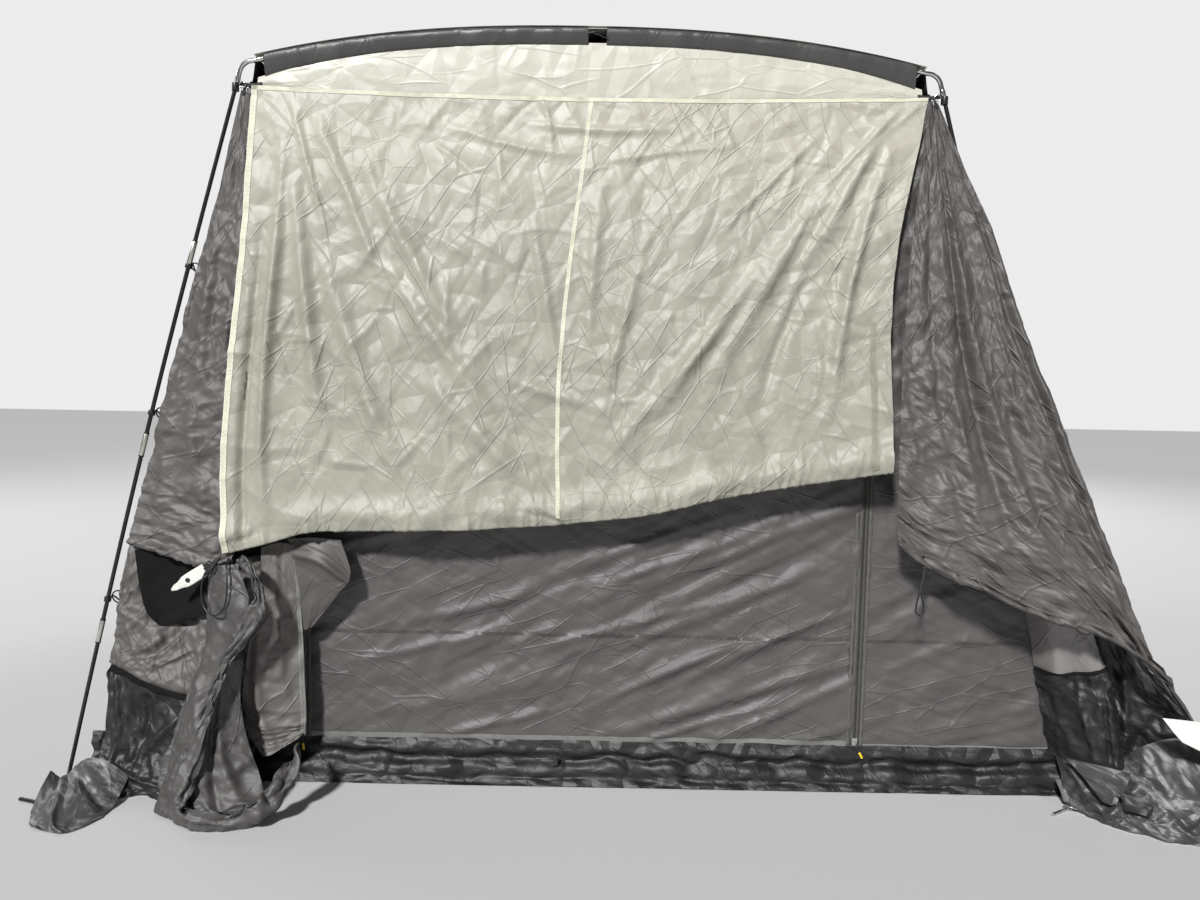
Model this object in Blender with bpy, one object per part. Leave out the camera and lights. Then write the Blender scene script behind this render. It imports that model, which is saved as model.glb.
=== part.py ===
"""Drive-away awning: two-arch pole frame, fabric body and the tunnel that hangs down at its rear.

Metres, +Z up. The origin is on the floor at the middle of the rear wall. The rear wall lies in
the plane Y = 0, the tunnel hangs on its -Y side and the body runs to Y = BODY_DEPTH.
"""
import math

import bmesh
import bpy

# Driving dimensions of the frame
BODY_DEPTH = 2.40
CROWN_Z = 2.106
ARCH_HALF = 0.90
ARCH_RISE = 0.087
ARCH_POWER = 2.4
EAVE_HALF = 0.964
EAVE_Z = 1.955
FOOT_HALF = 1.444
FOOT_SPLAY = 0.083
LEG_BOW = 0.014
POLE_R = 0.0055
FERRULE_R = 0.0070
FERRULE_LENGTH = 0.065
FERRULE_HEIGHTS = (0.44, 0.965, 1.495)
ELBOW_R = 0.0062
ELBOW_SLOPE_END = 0.918
ELBOW_CORNER = (0.950, 2.014)
ELBOW_LEG_END = 0.022
POLE_SIDES = 8

# Driving dimensions of the fabric
FABRIC_T = 0.004
GAP = 0.0003
SEAM_GAP = 0.0008
SLEEVE_RISE = 0.012
SLEEVE_DEPTH = 0.045
SLEEVE_FLARE = 0.018
SLEEVE_HALF_WIDTH = 0.010
SLEEVE_END = 0.885
SLEEVE_GAP_CENTRE = 0.018
SLEEVE_GAP_HALF = 0.025
SEAM_Z = 1.940
WALL_INSET = 0.030
WALL_SCALLOP = 0.022
GABLE_HALF = 0.905
SIDE_TOP_HALF = 0.912
SIDE_BEND = (0.922, 1.965)
SKIRT_Z = 0.120
SKIRT_BEND_Z = 0.075
SKIRT_TOE_Z = 0.045
SKIRT_TOE = 0.045
DOOR_LEFT = -0.800
DOOR_RIGHT = 0.800
DOOR_TOP = 1.620
ROOF_SAG = 0.035
ROOF_HALF = 0.915
ROOF_LAP = 0.006
TIE_START = 0.893
TIE_HEIGHTS = (1.9478, 1.9560)
TIE_T = 0.002
TAB_CENTRE = (-1.066, -0.1124, 0.606)
TAB_RUN = (-0.84, -0.54)
TAB_HALF = (0.050, 0.017, 0.0015)
PEG_LEFT_PATH = ((-1.509, -0.183, 0.006), (-1.475, -0.193, 0.006), (-1.3910, -0.2220, 0.006))
PEG_RIGHT_PATH = ((1.305, -0.160, 0.006), (1.370, -0.122, 0.006), (1.4370, -0.0859, 0.006))
PEG_LEFT_R = 0.005
PEG_RIGHT_R = 0.004

# Free cords at the tunnel's hems, each as the points of its route
CORD_R = 0.0022
CORD_STEPS = 2
BUCKLE_LOOP = ((-1.0060, -0.1103, 0.6450), (-1.0080, -0.1210, 0.6430), (-1.0120, -0.1310, 0.6370),
               (-1.0165, -0.1390, 0.6240), (-1.0195, -0.1440, 0.6080), (-1.0210, -0.1470, 0.5900),
               (-1.0205, -0.1500, 0.5720), (-1.0170, -0.1540, 0.5540), (-1.0090, -0.1590, 0.5380),
               (-0.9960, -0.1650, 0.5260), (-0.9800, -0.1710, 0.5210), (-0.9630, -0.1770, 0.5260),
               (-0.9500, -0.1810, 0.5380), (-0.9420, -0.1830, 0.5560), (-0.9385, -0.1830, 0.5760),
               (-0.9385, -0.1800, 0.5960), (-0.9400, -0.1750, 0.6160), (-0.9430, -0.1690, 0.6350),
               (-0.9470, -0.1590, 0.6520), (-0.9515, -0.1440, 0.6630), (-0.9545, -0.1260, 0.6660),
               (-0.9560, -0.1099, 0.6640))
HEM_STRAP = ((0.9290, -0.1352, 0.6820), (0.9290, -0.1335, 0.6550), (0.9250, -0.1315, 0.6280),
             (0.9220, -0.1310, 0.6040))
HEM_STRAP_HALF = (0.0050, 0.0010)
HEM_LOOP = ((0.9257, -0.1310, 0.6034), (0.9275, -0.1312, 0.5959), (0.9291, -0.1315, 0.5884),
            (0.9305, -0.1317, 0.5808), (0.9316, -0.1319, 0.5733), (0.9323, -0.1322, 0.5658),
            (0.9325, -0.1324, 0.5583), (0.9294, -0.1328, 0.5509), (0.9220, -0.1330, 0.5478),
            (0.9146, -0.1328, 0.5509), (0.9115, -0.1324, 0.5583), (0.9117, -0.1322, 0.5658),
            (0.9124, -0.1319, 0.5733), (0.9135, -0.1317, 0.5808), (0.9149, -0.1315, 0.5884),
            (0.9165, -0.1312, 0.5959), (0.9183, -0.1310, 0.6034))

# Zips of the rear door
ZIP_TAPE = 0.026
ZIP_TAPE_T = 0.002
ZIP_COIL = 0.006
ZIP_COIL_T = 0.003
SLIDER_W = 0.016
SLIDER_H = 0.024
SLIDER_T = 0.007
SLIDER_CLEAR = 0.0004
SLIDER_Z = 0.124

REAR, FRONT = -1, 1
LEFT, RIGHT = -1, 1

CREAM = ("cream_fabric", (0.62, 0.63, 0.52), 0.55, 0.0)
GREY = ("grey_fabric", (0.10, 0.09, 0.085), 0.55, 0.0)
SKIRT = ("skirt_film", (0.045, 0.05, 0.055), 0.35, 0.0)
GLASSFIBRE = ("glassfibre", (0.012, 0.012, 0.013), 0.35, 0.0)
STEEL = ("steel_tube", (0.62, 0.62, 0.61), 0.25, 1.0)
WEBBING = ("webbing", (0.015, 0.015, 0.016), 0.75, 0.0)
ZIP = ("zip_tape", (0.06, 0.055, 0.05), 0.65, 0.0)
ZIP_METAL = ("zip_metal", (0.55, 0.55, 0.53), 0.30, 1.0)
WHITE = ("white_tab", (0.80, 0.79, 0.76), 0.60, 0.0)


def clear_scene():
    """Remove the objects that the scene starts with."""
    for obj in list(bpy.data.objects):
        bpy.data.objects.remove(obj, do_unlink=True)


def material(spec):
    """Return the Principled material of a finish, made on its first use."""
    name, colour, roughness, metallic = spec
    found = bpy.data.materials.get(name)
    if found:
        return found
    made = bpy.data.materials.new(name)
    made.use_nodes = True
    shader = made.node_tree.nodes["Principled BSDF"]
    shader.inputs["Base Color"].default_value = (*colour, 1.0)
    shader.inputs["Roughness"].default_value = roughness
    shader.inputs["Metallic"].default_value = metallic
    return made


def add_object(name, verts, faces, spec, smooth_angle=None):
    """Add one closed mesh as an object of its own, with its faces turned outwards."""
    mesh = bpy.data.meshes.new(name)
    mesh.from_pydata([tuple(v) for v in verts], [], faces)
    shape = bmesh.new()
    shape.from_mesh(mesh)
    bmesh.ops.recalc_face_normals(shape, faces=shape.faces)
    shape.to_mesh(mesh)
    shape.free()
    if smooth_angle:
        mesh.shade_smooth()
        mesh.set_sharp_from_angle(angle=math.radians(smooth_angle))
    obj = bpy.data.objects.new(name, mesh)
    obj.data.materials.append(material(spec))
    bpy.context.collection.objects.link(obj)
    return obj


def lerp(a, b, t):
    """Blend two numbers."""
    return a + (b - a) * t


def along(points, t):
    """Point at share t of a list of evenly counted points, blended between neighbours."""
    place = t * (len(points) - 1)
    first = min(int(place), len(points) - 2)
    share = place - first
    return tuple(lerp(a, b, share) for a, b in zip(points[first], points[first + 1]))


def vector(a, b):
    """Unit vector from a to b."""
    step = [q - p for p, q in zip(a, b)]
    length = math.sqrt(sum(s * s for s in step))
    return [s / length for s in step]


def cross(a, b):
    """Cross product of two vectors."""
    return (a[1] * b[2] - a[2] * b[1], a[2] * b[0] - a[0] * b[2], a[0] * b[1] - a[1] * b[0])


def rings_along(path, radii, sides, side_axis=(0.0, 1.0, 0.0)):
    """Rings of points round a path, square to it, turned by a fixed side axis."""
    rings = []
    for i, point in enumerate(path):
        before = path[max(i - 1, 0)]
        after = path[min(i + 1, len(path) - 1)]
        run = vector(before, after)
        other = cross(run, side_axis)
        length = math.sqrt(sum(s * s for s in other))
        other = [s / length for s in other]
        across = cross(other, run)
        ring = []
        for k in range(sides):
            turn = 2 * math.pi * (k + 0.5) / sides
            ring.append([point[n] + radii[i] * (math.cos(turn) * other[n] + math.sin(turn) * across[n])
                         for n in range(3)])
        rings.append(ring)
    return rings


def tube(name, path, radii, spec, sides=POLE_SIDES, flat_foot=False):
    """Closed round bar along a path; flat_foot cuts its first ring level with the floor."""
    rings = rings_along(path, radii, sides)
    if flat_foot:
        for point in rings[0]:
            point[2] = path[0][2]
    return closed_tube(name, rings, spec)


def closed_tube(name, rings, spec):
    """Skin rings of equal counts into one closed bar with flat ends."""
    sides = len(rings[0])
    verts = [p for ring in rings for p in ring]
    faces = [tuple(range(sides)), tuple(range(len(verts) - sides, len(verts)))]
    for i in range(len(rings) - 1):
        for k in range(sides):
            a, b = i * sides + k, i * sides + (k + 1) % sides
            faces.append((a, b, b + sides, a + sides))
    return add_object(name, verts, faces, spec, smooth_angle=40)


def sheet(name, rows, spec, thickness=FABRIC_T):
    """Closed fabric sheet through a grid of points, half its thickness on each side."""
    count_v, count_u = len(rows), len(rows[0])
    normals = []
    for j in range(count_v):
        for i in range(count_u):
            left, right = rows[j][max(i - 1, 0)], rows[j][min(i + 1, count_u - 1)]
            up, down = rows[max(j - 1, 0)][i], rows[min(j + 1, count_v - 1)][i]
            normal = cross(vector(left, right), vector(up, down))
            length = math.sqrt(sum(s * s for s in normal))
            normals.append([s / length for s in normal])
    flat = [p for row in rows for p in row]
    half = thickness / 2
    verts = [[p[n] + half * q[n] for n in range(3)] for p, q in zip(flat, normals)]
    verts += [[p[n] - half * q[n] for n in range(3)] for p, q in zip(flat, normals)]
    total = len(flat)
    faces = []
    for j in range(count_v - 1):
        for i in range(count_u - 1):
            a = j * count_u + i
            quad = (a, a + 1, a + 1 + count_u, a + count_u)
            faces.append(quad)
            faces.append(tuple(total + k for k in reversed(quad)))
    rim = list(range(count_u))
    rim += [j * count_u + count_u - 1 for j in range(1, count_v)]
    rim += [(count_v - 1) * count_u + i for i in reversed(range(count_u - 1))]
    rim += [j * count_u for j in reversed(range(1, count_v - 1))]
    for a, b in zip(rim, rim[1:] + rim[:1]):
        faces.append((a, b, b + total, a + total))
    return add_object(name, verts, faces, spec, smooth_angle=60)


def prism(name, outline, start, end, spec):
    """Outline in Y and Z drawn out along X from start to end."""
    count = len(outline)
    verts = [(start, y, z) for y, z in outline] + [(end, y, z) for y, z in outline]
    faces = [tuple(range(count)), tuple(range(2 * count - 1, count - 1, -1))]
    faces += [(k, (k + 1) % count, (k + 1) % count + count, k + count) for k in range(count)]
    return add_object(name, verts, faces, spec)


def arch_z(x):
    """Height of the roof pole's middle line at x."""
    return CROWN_Z - ARCH_RISE * abs(x / ARCH_HALF) ** ARCH_POWER


def sleeve_top(x):
    """Height of the sleeve's upper edge at x."""
    return arch_z(x) + SLEEVE_RISE


def sleeve_drop(x):
    """Drop of the sleeve's lower edge below the pole at x, deeper towards its ends."""
    return SLEEVE_DEPTH - SLEEVE_RISE + SLEEVE_FLARE * abs(x / ARCH_HALF) ** 6


def leg_point(side, end, z):
    """Middle line of a leg at height z."""
    share = 1.0 - z / EAVE_Z
    x = lerp(EAVE_HALF, FOOT_HALF, share) + LEG_BOW * math.sin(math.pi * share)
    y = FOOT_SPLAY * share
    plane = 0.0 if end == REAR else BODY_DEPTH
    return (side * x, plane + end * y, z)


def arch_path(start, stop, y, steps):
    """Evenly spaced points of the roof pole's middle line from start to stop."""
    places = [lerp(start, stop, i / steps) for i in range(steps + 1)]
    return [(x, y, arch_z(x)) for x in places]


def corner_x(z):
    """Distance from the middle to the body's corner edge, drawn in between the leg's clips."""
    leg = leg_point(RIGHT, REAR, min(z, EAVE_Z))[0]
    sway = abs(math.sin(math.pi * z / 0.49))
    return leg - WALL_INSET - WALL_SCALLOP * sway


def plane_y(end):
    """Y of an end wall's middle plane."""
    return 0.0 if end == REAR else BODY_DEPTH


def build_arch(end, prefix):
    """Roof pole, two bent steel elbows and two legs with ferrules."""
    y = plane_y(end)
    steps = 22
    half = SLEEVE_END + 0.004
    path = arch_path(-half, half, y, steps)
    tube(f"{prefix}_roof_pole", path, [POLE_R] * len(path), GLASSFIBRE)
    for side, word in ((LEFT, "left"), (RIGHT, "right")):
        build_elbow(side, end, f"{prefix}_elbow_{word}")
        build_leg(side, end, f"{prefix}_leg_{word}")


def build_elbow(side, end, name):
    """Steel tube bent from the roof pole's slope to the leg's."""
    y = plane_y(end)
    inner = SLEEVE_END + 0.0045
    slope_end = (ELBOW_SLOPE_END, arch_z(ELBOW_SLOPE_END))
    leg_line = leg_point(RIGHT, end, EAVE_Z + ELBOW_LEG_END)
    leg_top = leg_point(RIGHT, end, EAVE_Z + 2 * GAP)
    points = [(inner, arch_z(inner))]
    for i in range(7):
        t = i / 6
        a = [lerp(slope_end[n], ELBOW_CORNER[n], t) for n in range(2)]
        b = [lerp(ELBOW_CORNER[n], (leg_line[0], leg_line[2])[n], t) for n in range(2)]
        points.append(tuple(lerp(a[n], b[n], t) for n in range(2)))
    points.append((leg_top[0], leg_top[2]))
    path = [(side * x, y, z) for x, z in points]
    tube(name, path, [ELBOW_R] * len(path), STEEL, sides=10)


def build_leg(side, end, name):
    """Leg in sections, with a steel ferrule round each joint."""
    stations = [(0.0, POLE_R)]
    for height in FERRULE_HEIGHTS:
        low, high = height - FERRULE_LENGTH / 2, height + FERRULE_LENGTH / 2
        stations += [(low - 0.0005, POLE_R), (low, FERRULE_R), (high, FERRULE_R), (high + 0.0005, POLE_R)]
    stations.append((EAVE_Z, POLE_R))
    path = [leg_point(side, end, z) for z, _ in stations]
    tube(name, path, [r for _, r in stations], GLASSFIBRE, flat_foot=True)


def build_ridge_pole():
    """Brace between the two arches, under the roof."""
    reach = POLE_R + GAP
    ends = (reach, BODY_DEPTH - reach)
    path = [(SLEEVE_GAP_CENTRE, lerp(*ends, i / 6), CROWN_Z) for i in range(7)]
    rings = rings_along(path, [POLE_R] * 7, POLE_SIDES, side_axis=(0.0, 0.0, 1.0))
    closed_tube("ridge_pole", rings, GLASSFIBRE)


def build_sleeve(end, start, stop, name):
    """Fabric sleeve hanging on the roof pole, open at both ends."""
    y = plane_y(end)
    steps = 11
    sides = POLE_SIDES
    outer, inner = [], []
    path = arch_path(start, stop, y, steps)
    hole = rings_along(path, [POLE_R + GAP] * len(path), sides)
    for i, (x, _, z) in enumerate(path):
        for point in hole[i]:
            angle = math.atan2(point[1] - y, point[2] - z)
            wide = math.sin(angle)
            high = math.cos(angle)
            reach = SLEEVE_RISE if high > 0 else sleeve_drop(x)
            outer.append((point[0], y + SLEEVE_HALF_WIDTH * wide, z + reach * high))
            inner.append(point)
    verts = outer + inner
    total = len(outer)
    faces = []
    for i in range(steps):
        for k in range(sides):
            a, b = i * sides + k, i * sides + (k + 1) % sides
            faces.append((a, b, b + sides, a + sides))
            faces.append((total + a + sides, total + b + sides, total + b, total + a))
    for ring in (0, steps):
        for k in range(sides):
            a, b = ring * sides + k, ring * sides + (k + 1) % sides
            quad = (a, b, total + b, total + a)
            faces.append(quad if ring else tuple(reversed(quad)))
    add_object(name, verts, faces, GREY, smooth_angle=60)


def build_gable(end, prefix):
    """Pale lune between the sleeve and the seam at the eaves."""
    y = plane_y(end)
    steps = 16
    lowest_top = SEAM_Z + 0.012
    top, bottom = [], []
    for i in range(steps + 1):
        x = lerp(-GABLE_HALF, GABLE_HALF, i / steps)
        low = arch_z(x) - sleeve_drop(x) - SEAM_GAP
        top.append((x, y, max(low, lowest_top)))
        bottom.append((x, y, SEAM_Z + GAP))
    middle = [tuple(lerp(a, b, 0.5) for a, b in zip(p, q)) for p, q in zip(top, bottom)]
    sheet(f"{prefix}_gable", [top, middle, bottom], CREAM)


def wall_panel(name, end, x_left, x_right, z_low, z_high, spec=GREY, rows=7):
    """Upright panel between two edges, each a number or a function of the height."""
    y = plane_y(end)
    grid = []
    for j in range(rows + 1):
        z = lerp(z_high, z_low, j / rows)
        a = x_left(z) if callable(x_left) else x_left
        b = x_right(z) if callable(x_right) else x_right
        grid.append([(lerp(a, b, i / 3), y, z) for i in range(4)])
    sheet(name, grid, spec)


def build_end_wall(end, prefix):
    """Wall of the body round its zipped door panel, with the skirt below."""
    low, high = SKIRT_Z + SEAM_GAP, SEAM_Z
    wall_panel(f"{prefix}_wall_left", end, lambda z: -corner_x(z), DOOR_LEFT, low, high)
    wall_panel(f"{prefix}_wall_right", end, DOOR_RIGHT, corner_x, low, high)
    left, right = DOOR_LEFT + SEAM_GAP, DOOR_RIGHT - SEAM_GAP
    wall_panel(f"{prefix}_wall_top", end, left, right, DOOR_TOP + SEAM_GAP, high, rows=2)
    wall_panel(f"{prefix}_door", end, left, right, low, DOOR_TOP, rows=5)
    half = FABRIC_T / 2
    outline = [(-half, SKIRT_Z), (-half, 0.0), (SKIRT_TOE, 0.0), (SKIRT_TOE * 0.6, SKIRT_TOE_Z),
               (half, SKIRT_BEND_Z), (half, SKIRT_Z)]
    outline = [(plane_y(end) + end * out, z) for out, z in outline]
    reach = corner_x(0.0) - half
    prism(f"{prefix}_skirt", outline, -reach, reach, SKIRT)


def build_roof():
    """Roof from arch to arch, over the sleeves and drawn down a little on both sides of the ridge."""
    steps_x, steps_y = 16, 8
    rows = []
    lift = SLEEVE_RISE + GAP + FABRIC_T / 2 + SEAM_GAP
    for j in range(steps_y + 1):
        share = j / steps_y
        y = lerp(-ROOF_LAP, BODY_DEPTH + ROOF_LAP, share)
        row = []
        for i in range(steps_x + 1):
            x = lerp(-ROOF_HALF, ROOF_HALF, i / steps_x)
            sag = ROOF_SAG * math.sin(math.pi * share) * math.sin(math.pi * abs(x) / ROOF_HALF)
            row.append((x, y, arch_z(x) + lift - sag))
        rows.append(row)
    sheet("roof", rows, CREAM)


def build_side(side, word):
    """Side wall between the two arches, and its skirt."""
    steps_y, steps_z = 6, 8
    inner = FABRIC_T / 2 + GAP
    start, stop = inner, BODY_DEPTH - inner
    clear = ELBOW_R + 0.002
    rows = []
    for x, z in ((SIDE_TOP_HALF, sleeve_top(SIDE_TOP_HALF)), SIDE_BEND):
        rows.append([(side * x, lerp(clear, BODY_DEPTH - clear, i / steps_y), z) for i in range(steps_y + 1)])
    for j in range(steps_z + 1):
        z = lerp(SEAM_Z, SKIRT_Z + SEAM_GAP, j / steps_z)
        x = corner_x(z) - FABRIC_T
        rows.append([(side * x, lerp(start, stop, i / steps_y), z) for i in range(steps_y + 1)])
    sheet(f"side_wall_{word}", rows, GREY)
    rows = []
    for z, out in ((SKIRT_Z, -FABRIC_T), (0.06, 0.004), (0.0022, 0.02)):
        x = corner_x(SKIRT_Z) + out
        rows.append([(side * x, lerp(start, stop, i / steps_y), z) for i in range(steps_y + 1)])
    sheet(f"side_skirt_{word}", rows, SKIRT)


TUNNEL_LEFT = ((-0.921, 1.945), (-0.930, 1.755), (-0.940, 1.479), (-0.957, 1.263), (-0.975, 1.069),
               (-0.983, 0.878), (-0.971, 0.680))
TUNNEL_RIGHT = ((0.921, 1.945), (0.889, 1.839), (0.851, 1.601), (0.830, 1.456), (0.822, 1.220),
                (0.830, 1.100), (0.834, 0.938))
TUNNEL_HEM = ((-0.971, 0.680), (-0.837, 0.742), (-0.600, 0.752), (-0.307, 0.761), (-0.090, 0.775),
              (0.200, 0.806), (0.460, 0.858), (0.650, 0.900), (0.834, 0.938))


def tunnel_reach(share):
    """How far the hanging tunnel roof stands in front of the rear wall at a share of its drop."""
    return 0.0046 + 0.150 * max(share - 0.03, 0.0) ** 0.8


def build_tunnel_roof():
    """Pale roof of the tunnel, hanging from the seam at the eaves."""
    steps_x, steps_z = 14, 14
    rows = []
    for j in range(steps_z + 1):
        share = 0.012 * j if j < 2 else lerp(0.024, 1.0, (j - 2) / (steps_z - 2))
        left, right = along(TUNNEL_LEFT, share), along(TUNNEL_RIGHT, share)
        row = []
        for i in range(steps_x + 1):
            u = i / steps_x
            bottom = along(TUNNEL_HEM, u)[1]
            fold = 0.012 * share * math.cos(2 * math.pi * 3 * u)
            row.append((lerp(left[0], right[0], u), -(tunnel_reach(share) + fold * (share > 0.1)),
                        lerp(1.945, bottom, share)))
        rows.append(row)
    sheet("tunnel_roof", rows, CREAM)


LEFT_OUTER = ((-0.950, -0.0046, 1.937), (-1.000, -0.020, 1.700), (-1.070, -0.030, 1.462),
              (-1.130, -0.034, 1.230), (-1.185, -0.038, 1.020), (-1.232, -0.046, 0.830),
              (-1.258, -0.060, 0.684))
LEFT_INNER = ((-0.927, -0.0046, 1.925), (-0.915, -0.012, 1.700), (-0.915, -0.045, 1.462),
              (-0.925, -0.062, 1.230), (-0.940, -0.080, 1.020), (-0.950, -0.095, 0.830),
              (-0.955, -0.108, 0.655))
RIGHT_INNER = ((0.925, -0.0046, 1.925), (0.900, -0.022, 1.700), (0.880, -0.045, 1.480),
               (0.865, -0.065, 1.260), (0.860, -0.085, 1.060), (0.858, -0.100, 0.880),
               (0.858, -0.115, 0.737))
RIGHT_OUTER = ((0.948, -0.0046, 1.937), (1.028, -0.020, 1.751), (1.108, -0.042, 1.575),
               (1.185, -0.080, 1.330), (1.290, -0.140, 1.030), (1.400, -0.200, 0.720),
               (1.500, -0.245, 0.450), (1.720, -0.290, 0.120))
LEFT_HEM_DROP = (0.0, -0.035, -0.015, -0.005, 0.0)
RIGHT_HEM_DROP = (0.0, 0.0, 0.045, 0.067, 0.115, 0.167, 0.163, 0.100, 0.0)


def tunnel_wall_rows(outer, inner, drops, steps_x, steps_z):
    """Grid of a hanging tunnel wall from its inner to its outer edge, with a gathered hem."""
    rows = []
    for j in range(steps_z + 1):
        share = j / steps_z
        a, b = along(inner, share), along(outer, share)
        row = []
        for i in range(steps_x + 1):
            u = i / steps_x
            x, y, z = (lerp(p, q, u) for p, q in zip(a, b))
            drop = along([(d,) for d in drops], u)[0] * share ** 3
            row.append((x, y - 0.010 * share * math.sin(4 * math.pi * u), z + drop))
        rows.append(row)
    return rows


LEFT_SKIRT_FOOT = ((-0.905, -0.150), (-0.970, -0.185), (-1.050, -0.185), (-1.140, -0.160),
                   (-1.250, -0.165), (-1.350, -0.150))
LEFT_SKIRT_TOE = ((-0.895, -0.185), (-0.970, -0.220), (-1.060, -0.220), (-1.150, -0.205),
                  (-1.260, -0.250), (-1.390, -0.220))
WING_EDGE = ((-0.790, -0.060, 0.690), (-0.785, -0.062, 0.560), (-0.778, -0.064, 0.430),
             (-0.772, -0.068, 0.300), (-0.765, -0.074, 0.180), (-0.790, -0.100, 0.080),
             (-0.815, -0.120, 0.016))
LOOP_PATH = ((-1.040, -0.2225), (-1.038, -0.260), (-1.020, -0.295), (-0.985, -0.320), (-0.940, -0.330),
             (-0.890, -0.315), (-0.850, -0.275), (-0.822, -0.225), (-0.806, -0.170), (-0.800, -0.1275))
LOOP_R = 0.022
INNER_TOP_Z = 0.560
INNER_FOOT_Z = 0.124
RIGHT_SKIRT_FOOT = ((1.372, -0.054, 0.016), (1.395, -0.125, 0.016), (1.460, -0.165, 0.016),
                    (1.560, -0.205, 0.030), (1.660, -0.245, 0.040))
RIGHT_SKIRT_TOE = ((1.376, -0.070, 0.0145), (1.400, -0.150, 0.0145), (1.490, -0.240, 0.0026),
                   (1.610, -0.295, 0.0026), (1.800, -0.330, 0.0026))


def build_tunnel_walls():
    """Grey side walls of the tunnel, drawn together by their hems, with what hangs below them."""
    left = tunnel_wall_rows(LEFT_OUTER, LEFT_INNER, LEFT_HEM_DROP, 6, 12)
    sheet("tunnel_wall_left", left, GREY)
    right = tunnel_wall_rows(RIGHT_OUTER, RIGHT_INNER, RIGHT_HEM_DROP, 8, 12)
    sheet("tunnel_wall_right", right, GREY)
    foot = [(x, y, 0.016) for x, y in LEFT_SKIRT_FOOT]
    toe = [(x, y, 0.0026) for x, y in LEFT_SKIRT_TOE]
    skirt = skirt_rows(left[-1], foot, toe, SEAM_GAP)
    sheet("tunnel_skirt_left", skirt, SKIRT)
    build_wing(skirt)
    inner = inner_rows()
    sheet("tunnel_inner_right", inner, SKIRT)
    skirt = skirt_rows(inner[-1], RIGHT_SKIRT_FOOT, RIGHT_SKIRT_TOE, SEAM_GAP)
    sheet("tunnel_skirt_right", skirt, SKIRT)


def skirt_rows(top, foot, toe, drop):
    """Grid of a skirt from the edge above it down to the floor and out over it."""
    steps_z = 6
    count = len(top)
    rows = []
    for j in range(steps_z + 1):
        share = j / steps_z
        row = []
        for i in range(count):
            x, y, z = along(foot, i / (count - 1))
            bulge = 0.03 * math.sin(math.pi * share) * (top[i][2] - z)
            row.append((lerp(top[i][0], x, share), lerp(top[i][1], y, share) - bulge,
                        lerp(top[i][2] - drop, z, share)))
        rows.append(row)
    rows.append([along(toe, i / (count - 1)) for i in range(count)])
    return rows


def build_wing(skirt):
    """Loose wing of the tunnel beside the left zip, and the twisted loop in front of it on the floor."""
    steps_x = 3
    rows = []
    for j, row in enumerate(skirt[:-1]):
        x, y, z = row[0]
        start = (x + SEAM_GAP, y, z)
        stop = along(WING_EDGE, j / (len(skirt) - 2))
        rows.append([tuple(lerp(a, b, i / steps_x) for a, b in zip(start, stop)) for i in range(steps_x + 1)])
    sheet("tunnel_wing_left", rows, GREY)
    path = [(x, y, LOOP_R + GAP) for x, y in LOOP_PATH]
    rings = rings_along(path, [LOOP_R] * len(path), POLE_SIDES, side_axis=(0.0, 0.0, 1.0))
    closed_tube("tunnel_loop_left", rings, SKIRT)


def inner_rows():
    """Grid of the inner layer that leaves the right wall and passes in front of the leg."""
    rows = []
    for j in range(5):
        z = lerp(INNER_TOP_Z, INNER_FOOT_Z, j / 4)
        leg_x, leg_y, _ = leg_point(RIGHT, REAR, z)
        rows.append([(corner_x(z) - 0.006, -0.0033, z), (leg_x - 0.030, leg_y - 0.035, z),
                     (leg_x + 0.030, -0.130, z), (leg_x + 0.080, -0.165, z), (leg_x + 0.120, -0.180, z)])
    return rows


def build_corner_flap():
    """Skirt corner spread on the floor beside the left leg."""
    rows = [[(-1.385, -0.2225, 0.0026), (-1.326, -0.2360, 0.0026), (-1.260, -0.2515, 0.0026)],
            [(-1.388, -0.2400, 0.0050), (-1.332, -0.2500, 0.0050), (-1.262, -0.2650, 0.0050)],
            [(-1.420, -0.2600, 0.0450), (-1.345, -0.2850, 0.0500), (-1.264, -0.3000, 0.0380)],
            [(-1.405, -0.3100, 0.0026), (-1.335, -0.3450, 0.0026), (-1.272, -0.3550, 0.0026)]]
    sheet("corner_flap_left", rows, SKIRT)


def zip_outline():
    """Profile of a zip's tape and coil in X and distance from the wall."""
    tape, coil = ZIP_TAPE / 2, ZIP_COIL / 2
    near = FABRIC_T / 2 + GAP
    face = near + ZIP_TAPE_T
    peak = face + ZIP_COIL_T
    return [(-tape, near), (tape, near), (tape, face), (coil, face), (coil, peak), (-coil, peak),
            (-coil, face), (-tape, face)]


def upright(name, centre, profile, z_low, z_high, spec):
    """Profile in X and distance from the wall drawn out upwards."""
    count = len(profile)
    verts = [(centre + x, -d, z_low) for x, d in profile] + [(centre + x, -d, z_high) for x, d in profile]
    faces = [tuple(range(count)), tuple(range(2 * count - 1, count - 1, -1))]
    faces += [(k, (k + 1) % count, (k + 1) % count + count, k + count) for k in range(count)]
    return add_object(name, verts, faces, spec)


def build_zip(centre, word):
    """Zip of the rear door with its slider at the bottom."""
    upright(f"zip_{word}", centre, zip_outline(), SKIRT_Z + 0.002, DOOR_TOP, ZIP)
    face = FABRIC_T / 2 + GAP + ZIP_TAPE_T
    inner = ZIP_COIL / 2 + SLIDER_CLEAR
    near = face + SLIDER_CLEAR
    under = face + ZIP_COIL_T + SLIDER_CLEAR
    far = near + SLIDER_T
    half = SLIDER_W / 2
    profile = [(-half, near), (-inner, near), (-inner, under), (inner, under), (inner, near),
               (half, near), (half, far), (-half, far)]
    slider = upright(f"slider_{word}", 0.0, profile, 0.0, SLIDER_H, ZIP_METAL)
    slider.location = (centre, 0.0, SLIDER_Z)


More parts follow.
